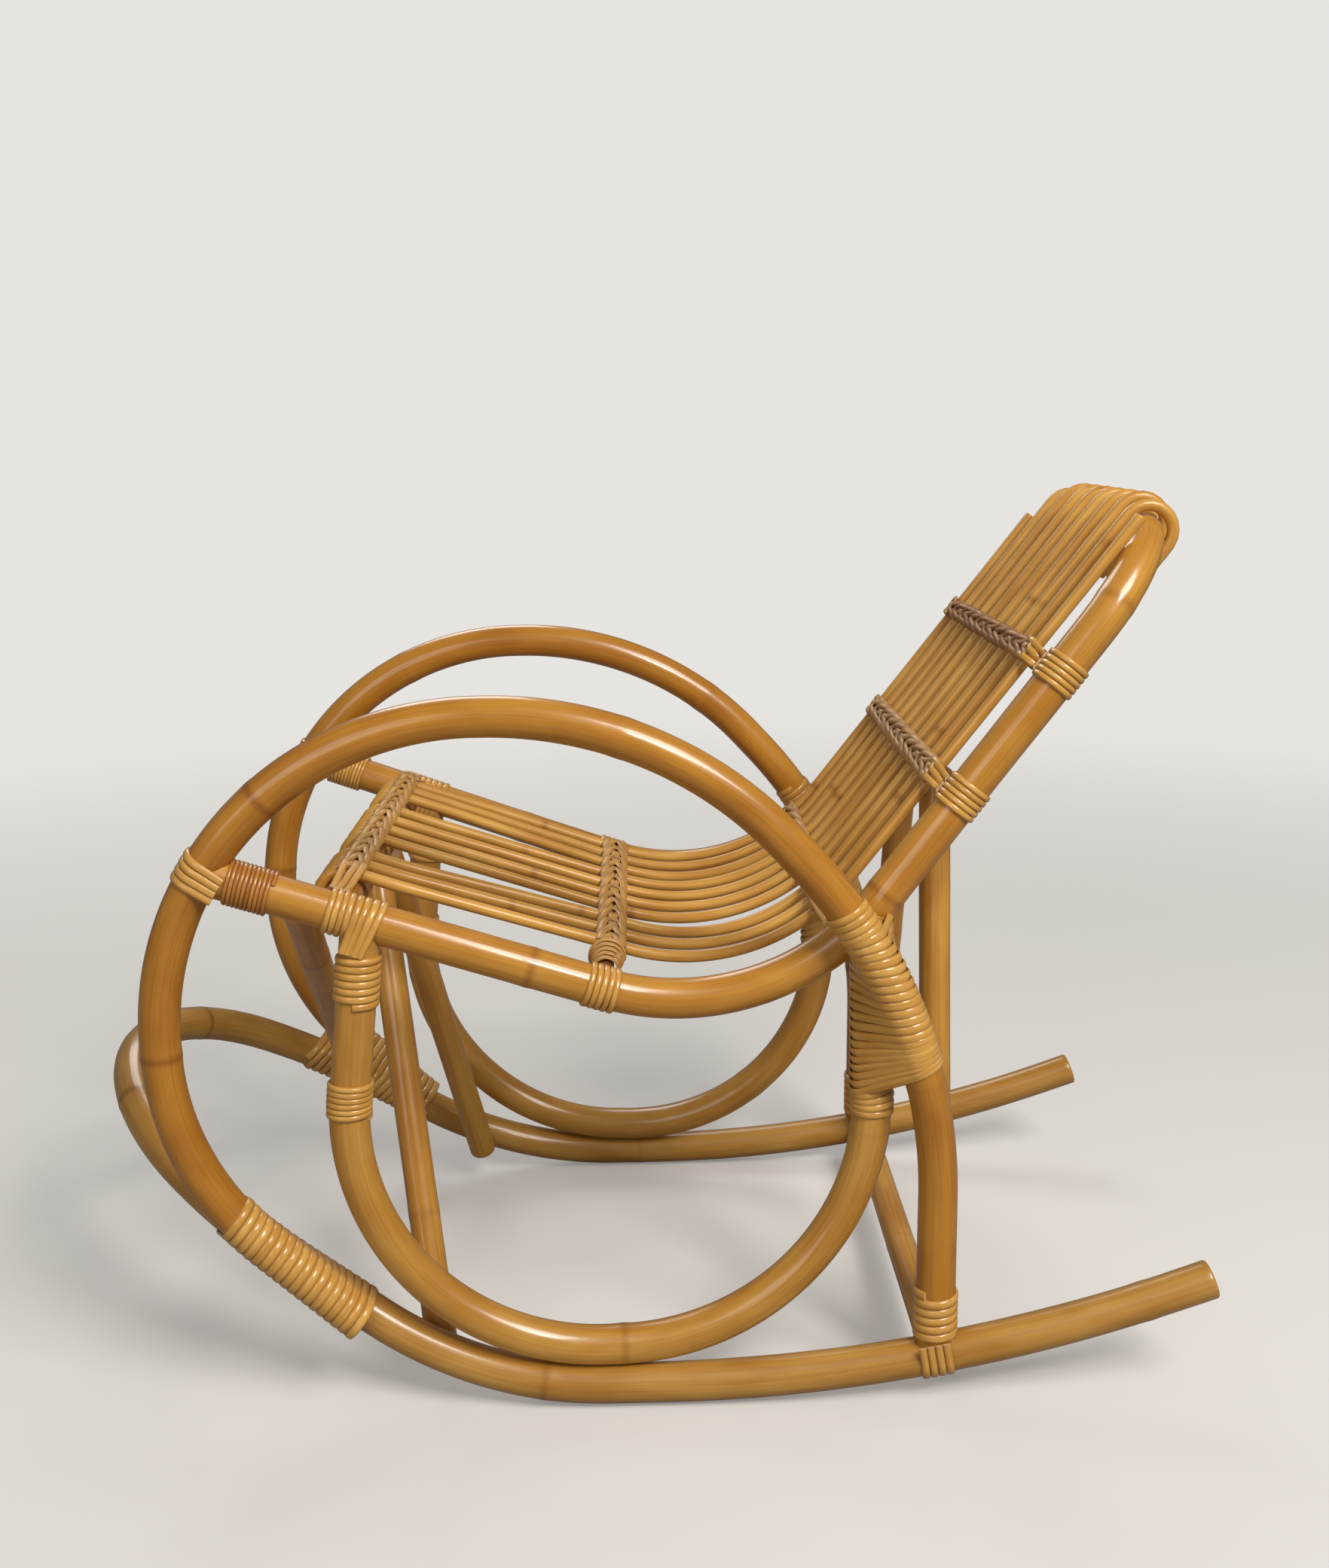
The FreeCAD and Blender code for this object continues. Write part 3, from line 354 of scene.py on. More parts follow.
def toe_taper(place):
    """The last stretch of the toe is thinned, so that it lies beside the runner in the binding."""
    return 1.0 - TOE_THINNED * max(0.0, min(1.0, (place - arm_line.length + TOE_LENGTH) / TOE_LENGTH))


for seed, (side, mirrored) in enumerate(SIDES):
    line = arm_line.other_side() if mirrored else arm_line
    joints = (150, 430, 690, 905) if mirrored else (196, 505, 742, 930)
    arm = bent_pole("arm_pole_" + side, line, POLE_R, joints, taper=toe_taper, seed=31 + seed)
    place_piece(arm, arm_skin, "arm_pole", "arm_hoop_" + side)

# Side hoops: a U of rattan a side, bent while it is hot and lacquered a paler honey than the arms.
# Its ends are hollowed to the rail above, and its bottom is nailed on the runner.
hoop_skin = rattan("hoop_lacquer", (0.59, 0.312, 0.058), (0.47, 0.217, 0.028), (0.46, 0.26, 0.1))
hoop_corners = [
    (-171.5, -178.8, 337.5),
    (-203.5, -191.8, 38.8),
    (157.5, -169.0, 38.8),
    (154.0, -158.2, 330.7),
]
hoop_line = bent_line(hoop_corners, [165.0, 165.0])
for seed, (side, mirrored) in enumerate(SIDES):
    line = hoop_line.other_side() if mirrored else hoop_line
    joints = (160, 520) if mirrored else (118, 402, 640)
    hoop = bent_pole("hoop_pole_" + side, line, POLE_R, joints, seed=41 + seed)
    place_piece(hoop, hoop_skin, "hoop_pole", "side_hoop_" + side)

# Seat and back frame: one long pole, from the front post along the rail, up the back, across the head
# and down again. It is nailed through the arm hoops, and carries the bars.
frame_corners = [(-269.3, -185.0, 371.0), (89.8, -162.3, 248.0), (340.5, -146.5, 569.0)]
frame_bends = [162.0, 78.0]
other_rail = [(x, -y, z) for x, y, z in frame_corners[::-1]]
rail_line = bent_line(frame_corners + other_rail, frame_bends + frame_bends[::-1])
frame_skin = rattan("frame_lacquer", (0.6, 0.293, 0.041), (0.49, 0.208, 0.02), (0.46, 0.25, 0.09))
seat_frame = bent_pole("seat_back_pole", rail_line, POLE_R, (214, 470, 705, 1010, 1300, 1560), seed=51)
place_piece(seat_frame, frame_skin, "arm_pole", "seat_back_frame")

# Bracing: thinner, darker poles nailed in last. Two braces rise from the runners to the front bar, one runs
# from the left rail to the right splice, a stretcher joins the legs, and two struts hold the back.
BRACE_R = 10.75
STRETCHER_ENDS = ((196.5, -175.0, 34.6), (196.5, 175.0, 34.6))
STRUT_ENDS = ((201.5, -157.0, 42.0), (210.7, -62.6, 399.5))
FRONT_BRACE_ENDS = ((-135.7, -156.6, 27.1), (-184.6, -27.9, 325.8))
DIAGONAL_ENDS = ((-243.2, 146.5, 112.5), (-212.6, -170.0, 342.9))
brace_skin = rattan("brace_lacquer", (0.62, 0.32, 0.055), (0.5, 0.222, 0.027), (0.46, 0.25, 0.09), streak=1.2)


def straight_brace(name, node, ends, joints, seed, mirrored=False):
    line = Line([Vector(end) for end in ends])
    line = line.other_side() if mirrored else line
    place_piece(bent_pole(name, line, BRACE_R, joints, seed=seed), brace_skin, "brace_pole", node)


straight_brace("stretcher_pole", "rear_stretcher", STRETCHER_ENDS, (130,), 61)
for seed, (side, mirrored) in enumerate(SIDES):
    names = "strut_pole_" + side, "rear_strut_" + side
    straight_brace(*names, STRUT_ENDS, (200,) if mirrored else (140,), 63 + seed, mirrored)
    names = "front_brace_pole_" + side, "front_brace_" + side
    straight_brace(*names, FRONT_BRACE_ENDS, (160,) if mirrored else (90,), 66 + seed, mirrored)
straight_brace("diagonal_pole", "front_diagonal_brace", DIAGONAL_ENDS, (150, 300), 69)

# Bars: sticks let in between the rails, a thick one under the front edge and four thin dark ones.
# Each is held by a nail through the rail at both ends.
bar_skin = rattan(
    "bar_lacquer", (0.26, 0.1, 0.018), (0.17, 0.06, 0.01), (0.4, 0.25, 0.15), gloss=0.4, coat=0.25
)
front_bar_skin = rattan("front_bar_lacquer", (0.5, 0.215, 0.032), (0.38, 0.14, 0.015), (0.4, 0.22, 0.1))
BARS = {  # x and z, radius, half the length, and the place on the rail
    "seat_front_bar": ((-187.6, 344.1), 12.0, 169.5, 86.2),
    "seat_middle_bar": ((-19.1, 292.7), 6.0, 160.0, 262.5),
    "bend_bar": ((133.7, 320.7), 6.0, 150.0, 432.9),
    "back_middle_bar": ((206.6, 408.9), 6.0, 145.5, 549.0),
    "back_upper_bar": ((267.5, 486.9), 6.0, 141.5, 648.0),
}
for seed, (name, ((x, z), radius, reach, place)) in enumerate(BARS.items()):
    line = Line([Vector((x, -reach, z)), Vector((x, reach, z))])
    bar = bent_pole(name + "_stick", line, radius, (95 + 40 * seed,), sides=16, seed=71 + seed)
    place_piece(bar, front_bar_skin if name == "seat_front_bar" else bar_skin, "bar", name)

# Seat and back rods: ten thin canes, curled round the front bar, laid over the bars and up the back,
# and looped over the head rail. The two outer ones are cut off on top of it.
ROD_R = 4.0
ROD_RISE = 17.2
CURL_R = 16.2
LOOP_RISE = 21.2
LOOP_TAIL = 34.0
OUTER_ENDS = {0: 24.0, 9: 8.0}
EASE = 150.0  # radius of the slight bends in the seat
ROD_JOINTS = ((120, 260), (380, 520), (600, 720))
head_start = BARS["back_upper_bar"][3]
front_rows = [-144.5, -121.0, -97.5, -49.5, -21.5, 6.5, 34.5, 82.5, 106.0, 129.5]
back_rows = [28.444 * index - 128.0 for index in range(10)]
head_point = Vector((340.5, 0, 569.0))
back_heading = Vector((0.61552, 0, 0.78812))
back_up = Vector((-0.78812, 0, 0.61552))
rod_skin = rattan(
    "rod_cane", (0.7, 0.385, 0.078), (0.55, 0.258, 0.04), (0.42, 0.25, 0.1), gloss=0.4, coat=0.3
)
for index, (front_y, back_y) in enumerate(zip(front_rows, back_rows)):
    corners = [
        (-204.8, front_y, 342.1),
        (-199.1, front_y, 365.1),
        (-154.0, front_y, 349.7),
        (-15.8, back_y, 302.4),
        (83.8, back_y, 268.2),
    ]
    bends = [CURL_R, EASE, EASE, frame_bends[0] - ROD_RISE]
    beside = Vector((0, back_y, 0))
    rail_top = rail_line.crossing(beside, Vector((0, 1, 0)), head_start, rail_line.length - head_start)[0]
    crest = head_point + beside - back_heading * (head_point - rail_top).dot(back_heading)
    if index in OUTER_ENDS:
        corners.append(crest + back_up * ROD_RISE + back_heading * OUTER_ENDS[index])
    else:
        corners.append(crest + back_up * ROD_RISE + back_heading * LOOP_RISE)
        corners.append(crest - back_up * ROD_RISE + back_heading * LOOP_RISE)
        corners.append(crest - back_up * ROD_RISE - back_heading * LOOP_TAIL)
        bends += [ROD_RISE, ROD_RISE]
    line = bent_line(corners, bends)
    chance = random.Random(81 + index)
    joints = [chance.uniform(low, high) for low, high in ROD_JOINTS]
    number = "%02d" % (index + 1)
    rod = bent_pole("rod_cane_" + number, line, ROD_R, joints, sides=14, end_round=0.8, seed=81 + index)
    place_piece(rod, rod_skin, "rod", "rod_" + number)

# Splice bindings: split cane, wound tight round the toe of the arm hoop and the runner with the bow's end.
# A strip is modelled straight, round on the skin side and flat inside, and then laid along its turns.
CANE_THICK = 1.7
STRIP_AIR = 0.25  # between a pole and the strip on it
CROWN = 0.55  # below 1 the skin side is flatter, with rounder edges
INNER_ROUND = 0.1  # what is left of the round on the flat side
GROOVE_SHADE_FROM = 0.5  # the share of the half width where the painted shade of the groove between two strips begins


def lay_strip(name, spots, outs, width, thickness=CANE_THICK, seed=0, sides=10):
    """A flat cane strip laid along spots, in mm, with its round side towards outs."""
    distances = [0.0]
    for before, after in zip(spots, spots[1:]):
        distances.append(distances[-1] + (after - before).length)
    length = distances[-1] * MM
    strip = straight_stock(name, length, width * MM, 2 * thickness * MM, sides, len(spots) - 2)
    last = len(spots) - 1
    chance = random.Random(seed)
    offset = chance.uniform(0, 9)
    frames = []
    for index, (spot, out) in enumerate(zip(spots, outs)):
        heading = (spots[min(index + 1, last)] - spots[max(index - 1, 0)]).normalized()
        out = (out - heading * out.dot(heading)).normalized()
        frames.append((spot, heading.cross(out), out))
    straight, joint = skin_values(strip)
    for index, vertex in enumerate(strip.data.vertices):
        station = min(last, max(0, round(vertex.co.x / length * last)))
        spot, across, out = frames[station]
        rise = thickness * MM * max(0.0, vertex.co.z / (thickness * MM)) ** CROWN
        rise = rise + min(0.0, vertex.co.z) * INNER_ROUND
        straight.data[index].vector = (distances[station] * MM + offset, vertex.co.y, rise)
        # Painted shade: the strip darkens towards its edges, for the shade in the grooves between strips.
        joint.data[index].value = max(0.0, abs(vertex.co.y) / (width * MM / 2) - GROOVE_SHADE_FROM)
        vertex.co = spot * MM + across * vertex.co.y + out * rise
    return strip


def join_strips(name, strips):
    """Puts the strips of one binding together in one piece."""
    bpy.ops.object.select_all(action="DESELECT")
    for strip in strips:
        strip.select_set(True)
    bpy.context.view_layer.objects.active = strips[0]
    if len(strips) > 1:
        bpy.ops.object.join()
    piece = bpy.context.view_layer.objects.active
    piece.name = piece.data.name = name
    bpy.ops.object.mode_set(mode="EDIT")
    bpy.ops.mesh.select_all(action="SELECT")
    bpy.ops.mesh.normals_make_consistent(inside=False)
    bpy.ops.object.mode_set(mode="OBJECT")
    bpy.ops.object.shade_smooth_by_angle(angle=math.radians(60))
    return piece


def turns_round_poles(poles_at, turns, steps=48):
    """Spots and outward directions of a strip wound round one pole or several held together.

    poles_at gives, for each part of a turn, the axis of the turns and the poles as point and direction."""
    spots, outs = [], []
    for count in range(int(turns * steps) + 1):
        axis, poles = poles_at(count / steps)
        across = (Vector((0, 1, 0)) - axis * axis.y).normalized()
        angle = math.tau * count / steps
        out = across * math.cos(angle) + axis.cross(across) * math.sin(angle)
        farthest = []
        for point, heading in poles:
            short = axis.cross(heading)
            short = short.normalized() if short.length > 0.001 else across
            long = axis.cross(short)
            wide = POLE_R / abs(heading.dot(axis))
            reach = Vector((POLE_R * out.dot(short), wide * out.dot(long))).normalized()
            farthest.append(point + short * (reach.x * POLE_R) + long * (reach.y * wide))
        spots.append(max(farthest, key=out.dot) + out * STRIP_AIR)
        outs.append(out)
    return spots, outs


def mirror_spots(spots, mirrored):
    """The same spots, or those of the other side of the chair."""
    return [Vector((spot.x, -spot.y, spot.z)) if mirrored else spot for spot in spots]


STRIP_CLOUD = (24, 60, 60)
cane_skin = rattan(
    "split_cane", (0.75, 0.43, 0.102), (0.63, 0.315, 0.056), (0.36, 0.2, 0.07), cloud=STRIP_CLOUD
)
SPLICE_LENGTH = 110.0
SPLICE_TURNS = 18
SPLICE_SPARE = 26.2  # mm looked along past the ends
splice_normal = arm_line.at(arm_line.length)[1]
splice_first = Vector((-276.7, -148.2, 123.9))
toe_range = (arm_line.length * 0.7, arm_line.length + SPLICE_SPARE)
runner_range = (SPLICE_PLACE - SPLICE_LENGTH - SPLICE_SPARE, SPLICE_PLACE + 2 * SPLICE_SPARE)
splice_pitch = SPLICE_LENGTH / SPLICE_TURNS


def splice_poles(turn):
    plane = splice_first + splice_normal * (splice_pitch * turn)
    toe = arm_line.crossing(plane, splice_normal, *toe_range)
    runner = base_line.crossing(plane, splice_normal, *runner_range)
    return splice_normal, [toe, runner]


splice_turns = turns_round_poles(splice_poles, SPLICE_TURNS)
for seed, (side, mirrored) in enumerate(SIDES):
    spots = mirror_spots(splice_turns[0], mirrored)
    outs = mirror_spots(splice_turns[1], mirrored)
    strip = lay_strip("splice_strip", spots, outs, splice_pitch + 0.1, seed=101 + seed)
    place_piece(join_strips("splice_binding_" + side, [strip]), cane_skin, "cane", "splice_winding_" + side)

# Junction bindings: the same cane, wound at a slant round the leg and the back of the side hoop.
# It begins under the arm with turns round the leg alone, and ends below with turns round the hoop alone.
JUNCTION_TURNS = 20
JUNCTION_KNOTS = (  # share of the turns, x, z and slant in degrees
    (0.0, 147.0, 326.0, 26.0),
    (0.25, 156.0, 299.0, 8.0),
    (0.65, 166.0, 252.0, 18.0),
    (1.0, 168.0, 222.0, 33.0),
)
JUNCTION_WIDTH = 6.3
JUNCTION_THICK = 1.3
HOOP_TURNS, HOOP_X, HOOP_Z, HOOP_PITCH, HOOP_WIDTH = 4, 154.0, 213.0, 4.6, 5.0
HOOP_SLANT, HOOP_SLANT_STEP = 22.0, 5.0
LEG_TURNS, LEG_TURNS_PLACE, LEG_PITCH, LEG_WIDTH = 4.4, 324.0, -5.2, 5.6
leg_range = (0, arm_line.length * 0.35)
hoop_range = (hoop_line.length * 0.7, hoop_line.length)


def slanted_turn(x, z, slant):
    """Spot and axis of a turn that rises towards the back."""
    return Vector((x, 0, z)), Vector((-math.sin(math.radians(slant)), 0, math.cos(math.radians(slant))))


def junction_poles(turn):
    share = turn / JUNCTION_TURNS
    for before, after in zip(JUNCTION_KNOTS, JUNCTION_KNOTS[1:]):
        if share <= after[0]:
            break
    part = (share - before[0]) / (after[0] - before[0])
    x, z, slant = (first + (second - first) * part for first, second in zip(before[1:], after[1:]))
    spot, axis = slanted_turn(x, z, slant)
    return axis, [arm_line.crossing(spot, axis, *leg_range), hoop_line.crossing(spot, axis, *hoop_range)]


def hoop_poles(turn):
    spot, axis = slanted_turn(HOOP_X, HOOP_Z - HOOP_PITCH * turn, HOOP_SLANT - HOOP_SLANT_STEP * turn)
    return axis, [hoop_line.crossing(spot, axis, *hoop_range)]


HUG = POLE_R + STRIP_AIR


def turns_round(line, first, pitch, turns, steps=36):
    """Spots and outward directions of a strip wound round one pole."""
    spots, outs = [], []
    for count in range(int(turns * steps) + 1):
        angle = math.tau * count / steps
        centre, heading = line.at(first + pitch * count / steps)
        across = (Vector((0, 1, 0)) - heading * heading.y).normalized()
        out = across * math.cos(angle) + heading.cross(across) * math.sin(angle)
        spots.append(centre + out * HUG)
        outs.append(out)
    return spots, outs


junction_parts = [
    (turns_round_poles(junction_poles, JUNCTION_TURNS), JUNCTION_WIDTH),
    (turns_round_poles(hoop_poles, HOOP_TURNS), HOOP_WIDTH),
    (turns_round(arm_line, LEG_TURNS_PLACE, LEG_PITCH, LEG_TURNS), LEG_WIDTH),
]
for seed, (side, mirrored) in enumerate(SIDES):
    strips = []
    for number, ((spots, outs), width) in enumerate(junction_parts):
        spots, outs = mirror_spots(spots, mirrored), mirror_spots(outs, mirrored)
        strip_seed = 300 + 10 * seed + number
        strips.append(lay_strip("junction_strip", spots, outs, width, JUNCTION_THICK, seed=strip_seed))
    binding = join_strips("junction_binding_" + side, strips)
    place_piece(binding, cane_skin, "cane", "junction_winding_" + side)

# Wraps round one pole: the top and middle of the side hoop, the rail behind the arm and the foot of the leg.
# Each is one strip wound side by side. The one on the left rail is stained red-brown.
stained = rattan(
    "stained_cane", (0.52, 0.225, 0.045), (0.42, 0.155, 0.022), (0.36, 0.2, 0.07), cloud=STRIP_CLOUD
)
WRAPS = [  # name, node, pole, place of the first turn, pitch, turns and width
    ("hoop_top_wrap", "hoop_top_winding", hoop_line, 22.5, 4.9, 6.5, 5.0),
    ("hoop_wrap", "hoop_band", hoop_line, 107.0, 3.8, 6.3, 3.9),
    ("rail_front_wrap", "rail_wrap", rail_line, 17.5, 2.75, 10.4, 2.8),
    ("foot_wrap", "foot_winding", arm_line, 15.5, 6.0, 5.4, 6.0),
]
for number, (name, node, line, first, pitch, turns, width) in enumerate(WRAPS):
    wound = turns_round(line, first, pitch, turns)
    for seed, (side, mirrored) in enumerate(SIDES):
        spots = mirror_spots(wound[0], mirrored)
        outs = mirror_spots(wound[1], mirrored)
        strip = lay_strip(name + "_strip", spots, outs, width, seed=111 + 2 * number + seed)
        finish = stained if name == "rail_front_wrap" and not mirrored else cane_skin
        place_piece(join_strips("%s_%s" % (name, side), [strip]), finish, "cane", "%s_%s" % (node, side))

# Saddles and straps: short strips side by side, over the rail down to the top of the side hoop, round the arm
# on to the rail's end, and under the runner up to the foot of the leg. Their ends are tucked under turns.


def strip_across(line, place, angles, tails, lean=0.0):
    """Spots and outward directions of a strip round part of a pole, with straight tails that may lean."""
    centre, heading = line.at(place)
    across = (Vector((0, 1, 0)) - heading * heading.y).normalized()
    over = heading.cross(across)
    over = over if over.z > 0 else -over
    spots, outs = [], []
    for angle in angles:
        outs.append(across * math.cos(angle) + over * math.sin(angle))
        spots.append(centre + outs[-1] * HUG)
    for end, tail in ((0, tails[0]), (-1, tails[1])):
        turn = outs[end]
        step = spots[end] - spots[1 if end == 0 else -2]
        lead = step.normalized()
        pieces = [spots[end] + lead * (tail * part / 4) for part in range(1, 5)]
        if end == 0:
            spots = pieces[::-1] + spots
            outs = [turn] * 4 + outs
        else:
            spots = spots + pieces
            outs = outs + [turn] * 4
    spots = [spot - heading * (lean * (1 - (spot - centre).dot(over) / HUG)) for spot in spots]
    return spots, outs


def arc(start, end, steps=22):
    """Angles in steps, from degrees."""
    return [math.radians(start + (end - start) * step / steps) for step in range(steps + 1)]


HOOP_FRONT_PLACE = 103.5
LEG_PLACE = 191.6
RAIL_FRONT_PLACE = 804.2
UPRIGHT, SLANTED = (0.0, 0.0), (1.5, 0.5)  # lean of the middle, and more of it from strip to strip
TUCKED = (1.5, 1.5)
over_pole, under_pole, round_rail = arc(0, 180), arc(-180, 0), arc(62, 328, 30)
LAID = (  # group, pole, middle of the strips, pitch, width, angles round the pole, tails and lean
    ("rail_saddle", rail_line, HOOP_FRONT_PLACE + 4.0, 5.0, 4.9, over_pole, (15, 20), SLANTED),
    ("rail_saddle", rail_line, BARS["seat_front_bar"][3] + 3.0, 4.0, 4.1, round_rail, TUCKED, UPRIGHT),
    ("rail_end", arm_line, RAIL_FRONT_PLACE, 5.2, 5.3, over_pole, (13, 16), UPRIGHT),
    ("foot_strap", base_line, LEG_PLACE, 5.4, 5.3, under_pole, (14, 9), UPRIGHT),
)
LAID_NODES = {"rail_saddle": "rail_saddle_", "rail_end": "rail_end_lashing_", "foot_strap": "foot_strap_"}
for seed, (side, mirrored) in enumerate(SIDES):
    groups = {group: [] for group in LAID_NODES}
    for count in (-1.5, -0.5, 0.5, 1.5):
        for number, (group, line, middle, pitch, width, angles, tails, lean) in enumerate(LAID):
            lean = lean[0] + lean[1] * count
            spots, outs = strip_across(line, middle + pitch * count, angles, tails, lean)
            spots, outs = mirror_spots(spots, mirrored), mirror_spots(outs, mirrored)
            strip_seed = round(131 + 2 * count + 20 * number + 10 * seed)
            groups[group].append(lay_strip("laid_strip", spots, outs, width, seed=strip_seed))
    for group, strips in groups.items():
        piece = join_strips("%s_cane_%s" % (group, side), strips)
        place_piece(piece, cane_skin, "cane", LAID_NODES[group] + side)

# Bands: strips side by side round the rail at the end of each thin bar, covering the bar's end.
# On the back they go on over the outer rod to the plait.
BAND_STRIPS, BAND_PITCH = 5, 4.2
ROD_AIR, PLAIT_AIR = 0.4, 0.9  # under and over a rod on its bar
END_WIDTH, END_THICK = 4.8, 1.3
END_PATHS = ((6.5, 3.5), (1.5, -1.5), (-5.0, -5.5))  # beside the bar's middle, at the plait and on the rail


def bar_axes(bar):
    """Middle of a bar, the rail's direction there, the way up from seat or back, and the left rail's y."""
    (x, z), _, _, place = BARS[bar]
    rail, heading = rail_line.at(place)
    heading = Vector((heading.x, 0, heading.z)).normalized()
    return Vector((x, 0, z)), heading, Vector((-heading.z, 0, heading.x)), rail.y


def smooth_run(points, steps=6):
    """Spots along a smooth curve through a few points."""
    spots = []
    for index in range(len(points) - 1):
        before = points[max(index - 1, 0)]
        first, second = points[index], points[index + 1]
        after = points[min(index + 2, len(points) - 1)]
        for step in range(steps):
            share = step / steps
            spots.append(0.5 * (
                2 * first + (second - before) * share
                + (2 * before - 5 * first + 4 * second - after) * share ** 2
                + (3 * first - before - 3 * second + after) * share ** 3
            ))
    return spots + [points[-1]]


def plait_top(bar):
    """Height of a plait over the middle of its bar, where it lies on a rod."""
    return BARS[bar][1] + ROD_AIR + 2 * ROD_R + PLAIT_AIR


def end_strips(bar, row, side, seed):
    """Strips from the plait's end, over the outer rod and down on the rail."""
    middle, heading, over, rail_y = bar_axes(bar)
    rail_y *= -side
    radius = BARS[bar][1]
    strips = []
    for number, (begin, finish) in enumerate(END_PATHS):
        knots = (
            (row - side * 5.0, begin, plait_top(bar) + 0.6),
            (row + side * 3.0, begin, plait_top(bar) + 0.4),
            ((row + rail_y) / 2, (begin + finish) / 2, (plait_top(bar) + radius) / 2 + 0.6),
            (rail_y - side * 9.0, finish, radius + 1.0),
            (rail_y - side * 3.0, finish, radius + 1.4),
        )
        spots = [middle + Vector((0, y, 0)) + heading * aside + over * rise for y, aside, rise in knots]
        spots = smooth_run(spots)
        outs = [over] * len(spots)
        strips.append(lay_strip("end_strip", spots, outs, END_WIDTH, END_THICK, seed=seed + number))
    return strips


for number, (name, node, bar) in enumerate((
    ("middle_band", "middle_bar_band", "seat_middle_bar"),
    ("back_middle_tie", "back_middle_band", "back_middle_bar"),
    ("back_upper_tie", "back_upper_band", "back_upper_bar"),
)):
    for seed, (side, mirrored) in enumerate(SIDES):
        strips = []
        for count in range(BAND_STRIPS):
            place = BARS[bar][3] + BAND_PITCH * (count - 2)
            spots, outs = strip_across(rail_line, place, round_rail, TUCKED)
            spots, outs = mirror_spots(spots, mirrored), mirror_spots(outs, mirrored)
            strip_seed = 171 + count + 10 * seed + 30 * number
            strips.append(lay_strip("band_strip", spots, outs, BAND_PITCH, seed=strip_seed))
        if bar.startswith("back"):
            row, way = (back_rows[-1], 1) if mirrored else (back_rows[0], -1)
            strips += end_strips(bar, row, way, 400 + 10 * seed)
        place_piece(join_strips("%s_%s" % (name, side), strips), cane_skin, "cane", "%s_%s" % (node, side))

# Plaits: six strands braided flat along each bar, over every rod, and tied down round the bar between rods.
# The one in the middle of the seat ends in a hood of turns round the bar, and the others go on to the rail.
PLAIT_STRANDS = 6
PLAIT_PERIOD = 128.0
PLAIT_OVERRUN = 6.0  # past the outer rods
STRAND_STEP, STRAND_LIFT, STRAND_THICK = 2.2, 0.9, 1.3
DIP, DIP_FROM, DIP_REACH, EDGE_DROP = 1.6, 3.0, 8.0, 4.2  # between two rods, and at the plait's edges
TIE_WIDTH, TIE_THICK = 4.0, 1.5
HOOD_PITCH, HOOD_WIDTH, HOOD_STEPS = 4.2, 4.6, 30
HOOD_RISE, HOOD_SPREAD, HOOD_AIR = 3.6, 5.0, 0.5
straw = rattan("straw_cane", (0.66, 0.37, 0.1), (0.52, 0.255, 0.05), (0.3, 0.15, 0.05), gloss=0.45, coat=0.2)
tan = rattan("tan_cane", (0.6, 0.34, 0.12), (0.46, 0.23, 0.07), (0.26, 0.13, 0.05), gloss=0.5, coat=0.15)
dark = rattan("dark_cane", (0.44, 0.2, 0.055), (0.32, 0.13, 0.03), (0.22, 0.1, 0.05), gloss=0.5, coat=0.12)
under_bar = arc(158, 382, 26)


def plait(name, bar, rows, half_width, width, seed):
    """Strands and ties of one plait."""
    middle, heading, over, _ = bar_axes(bar)
    radius, top = BARS[bar][1], plait_top(bar)

    def height(y, aside):
        nearest = min(abs(y - row) for row in rows)
        dip = DIP * min(1.0, max(0.0, nearest - DIP_FROM) / DIP_REACH)
        return top - dip - EDGE_DROP * (aside / half_width) ** 4

    strips = []
    start, end = rows[0] - PLAIT_OVERRUN, rows[-1] + PLAIT_OVERRUN
    steps = round((end - start) / STRAND_STEP)
    for strand in range(PLAIT_STRANDS):
        spots, outs = [], []
        for step in range(steps + 1):
            y = start + (end - start) * step / steps
            phase = math.tau * ((y - start) / PLAIT_PERIOD + strand / PLAIT_STRANDS)
            aside = -(half_width - width / 2) * math.cos(phase)
            lift = STRAND_LIFT * math.sin(2 * phase)
            spots.append(middle + Vector((0, y, 0)) + heading * aside + over * (height(y, aside) + lift))
            outs.append((over + heading * (0.5 * aside / half_width)).normalized())
        strand_seed = seed + strand
        strips.append(lay_strip(name + "_strand", spots, outs, width, STRAND_THICK, strand_seed, sides=8))
    ties = [(first + second) / 2 for first, second in zip(rows, rows[1:])]
    for number, y in enumerate(ties):
        spots, outs = [], []
        tied = middle + Vector((0, y, 0))
        for angle in under_bar:
            out = heading * math.cos(angle) + over * math.sin(angle)
            spots.append(tied + out * (radius + 0.3))
            outs.append(out)
        for end in (0, -1):
            out = outs[end]
            spot = tied + out * half_width * 0.8 + over * (top - 4.0 - radius * 0.4)
            spots.insert(0 if end == 0 else len(spots), spot)
            outs.insert(0 if end == 0 else len(outs), out)
        tie_seed = seed + 20 + number
        strips.append(lay_strip(name + "_tie", spots, outs, TIE_WIDTH, TIE_THICK, seed=tie_seed, sides=8))
    return strips


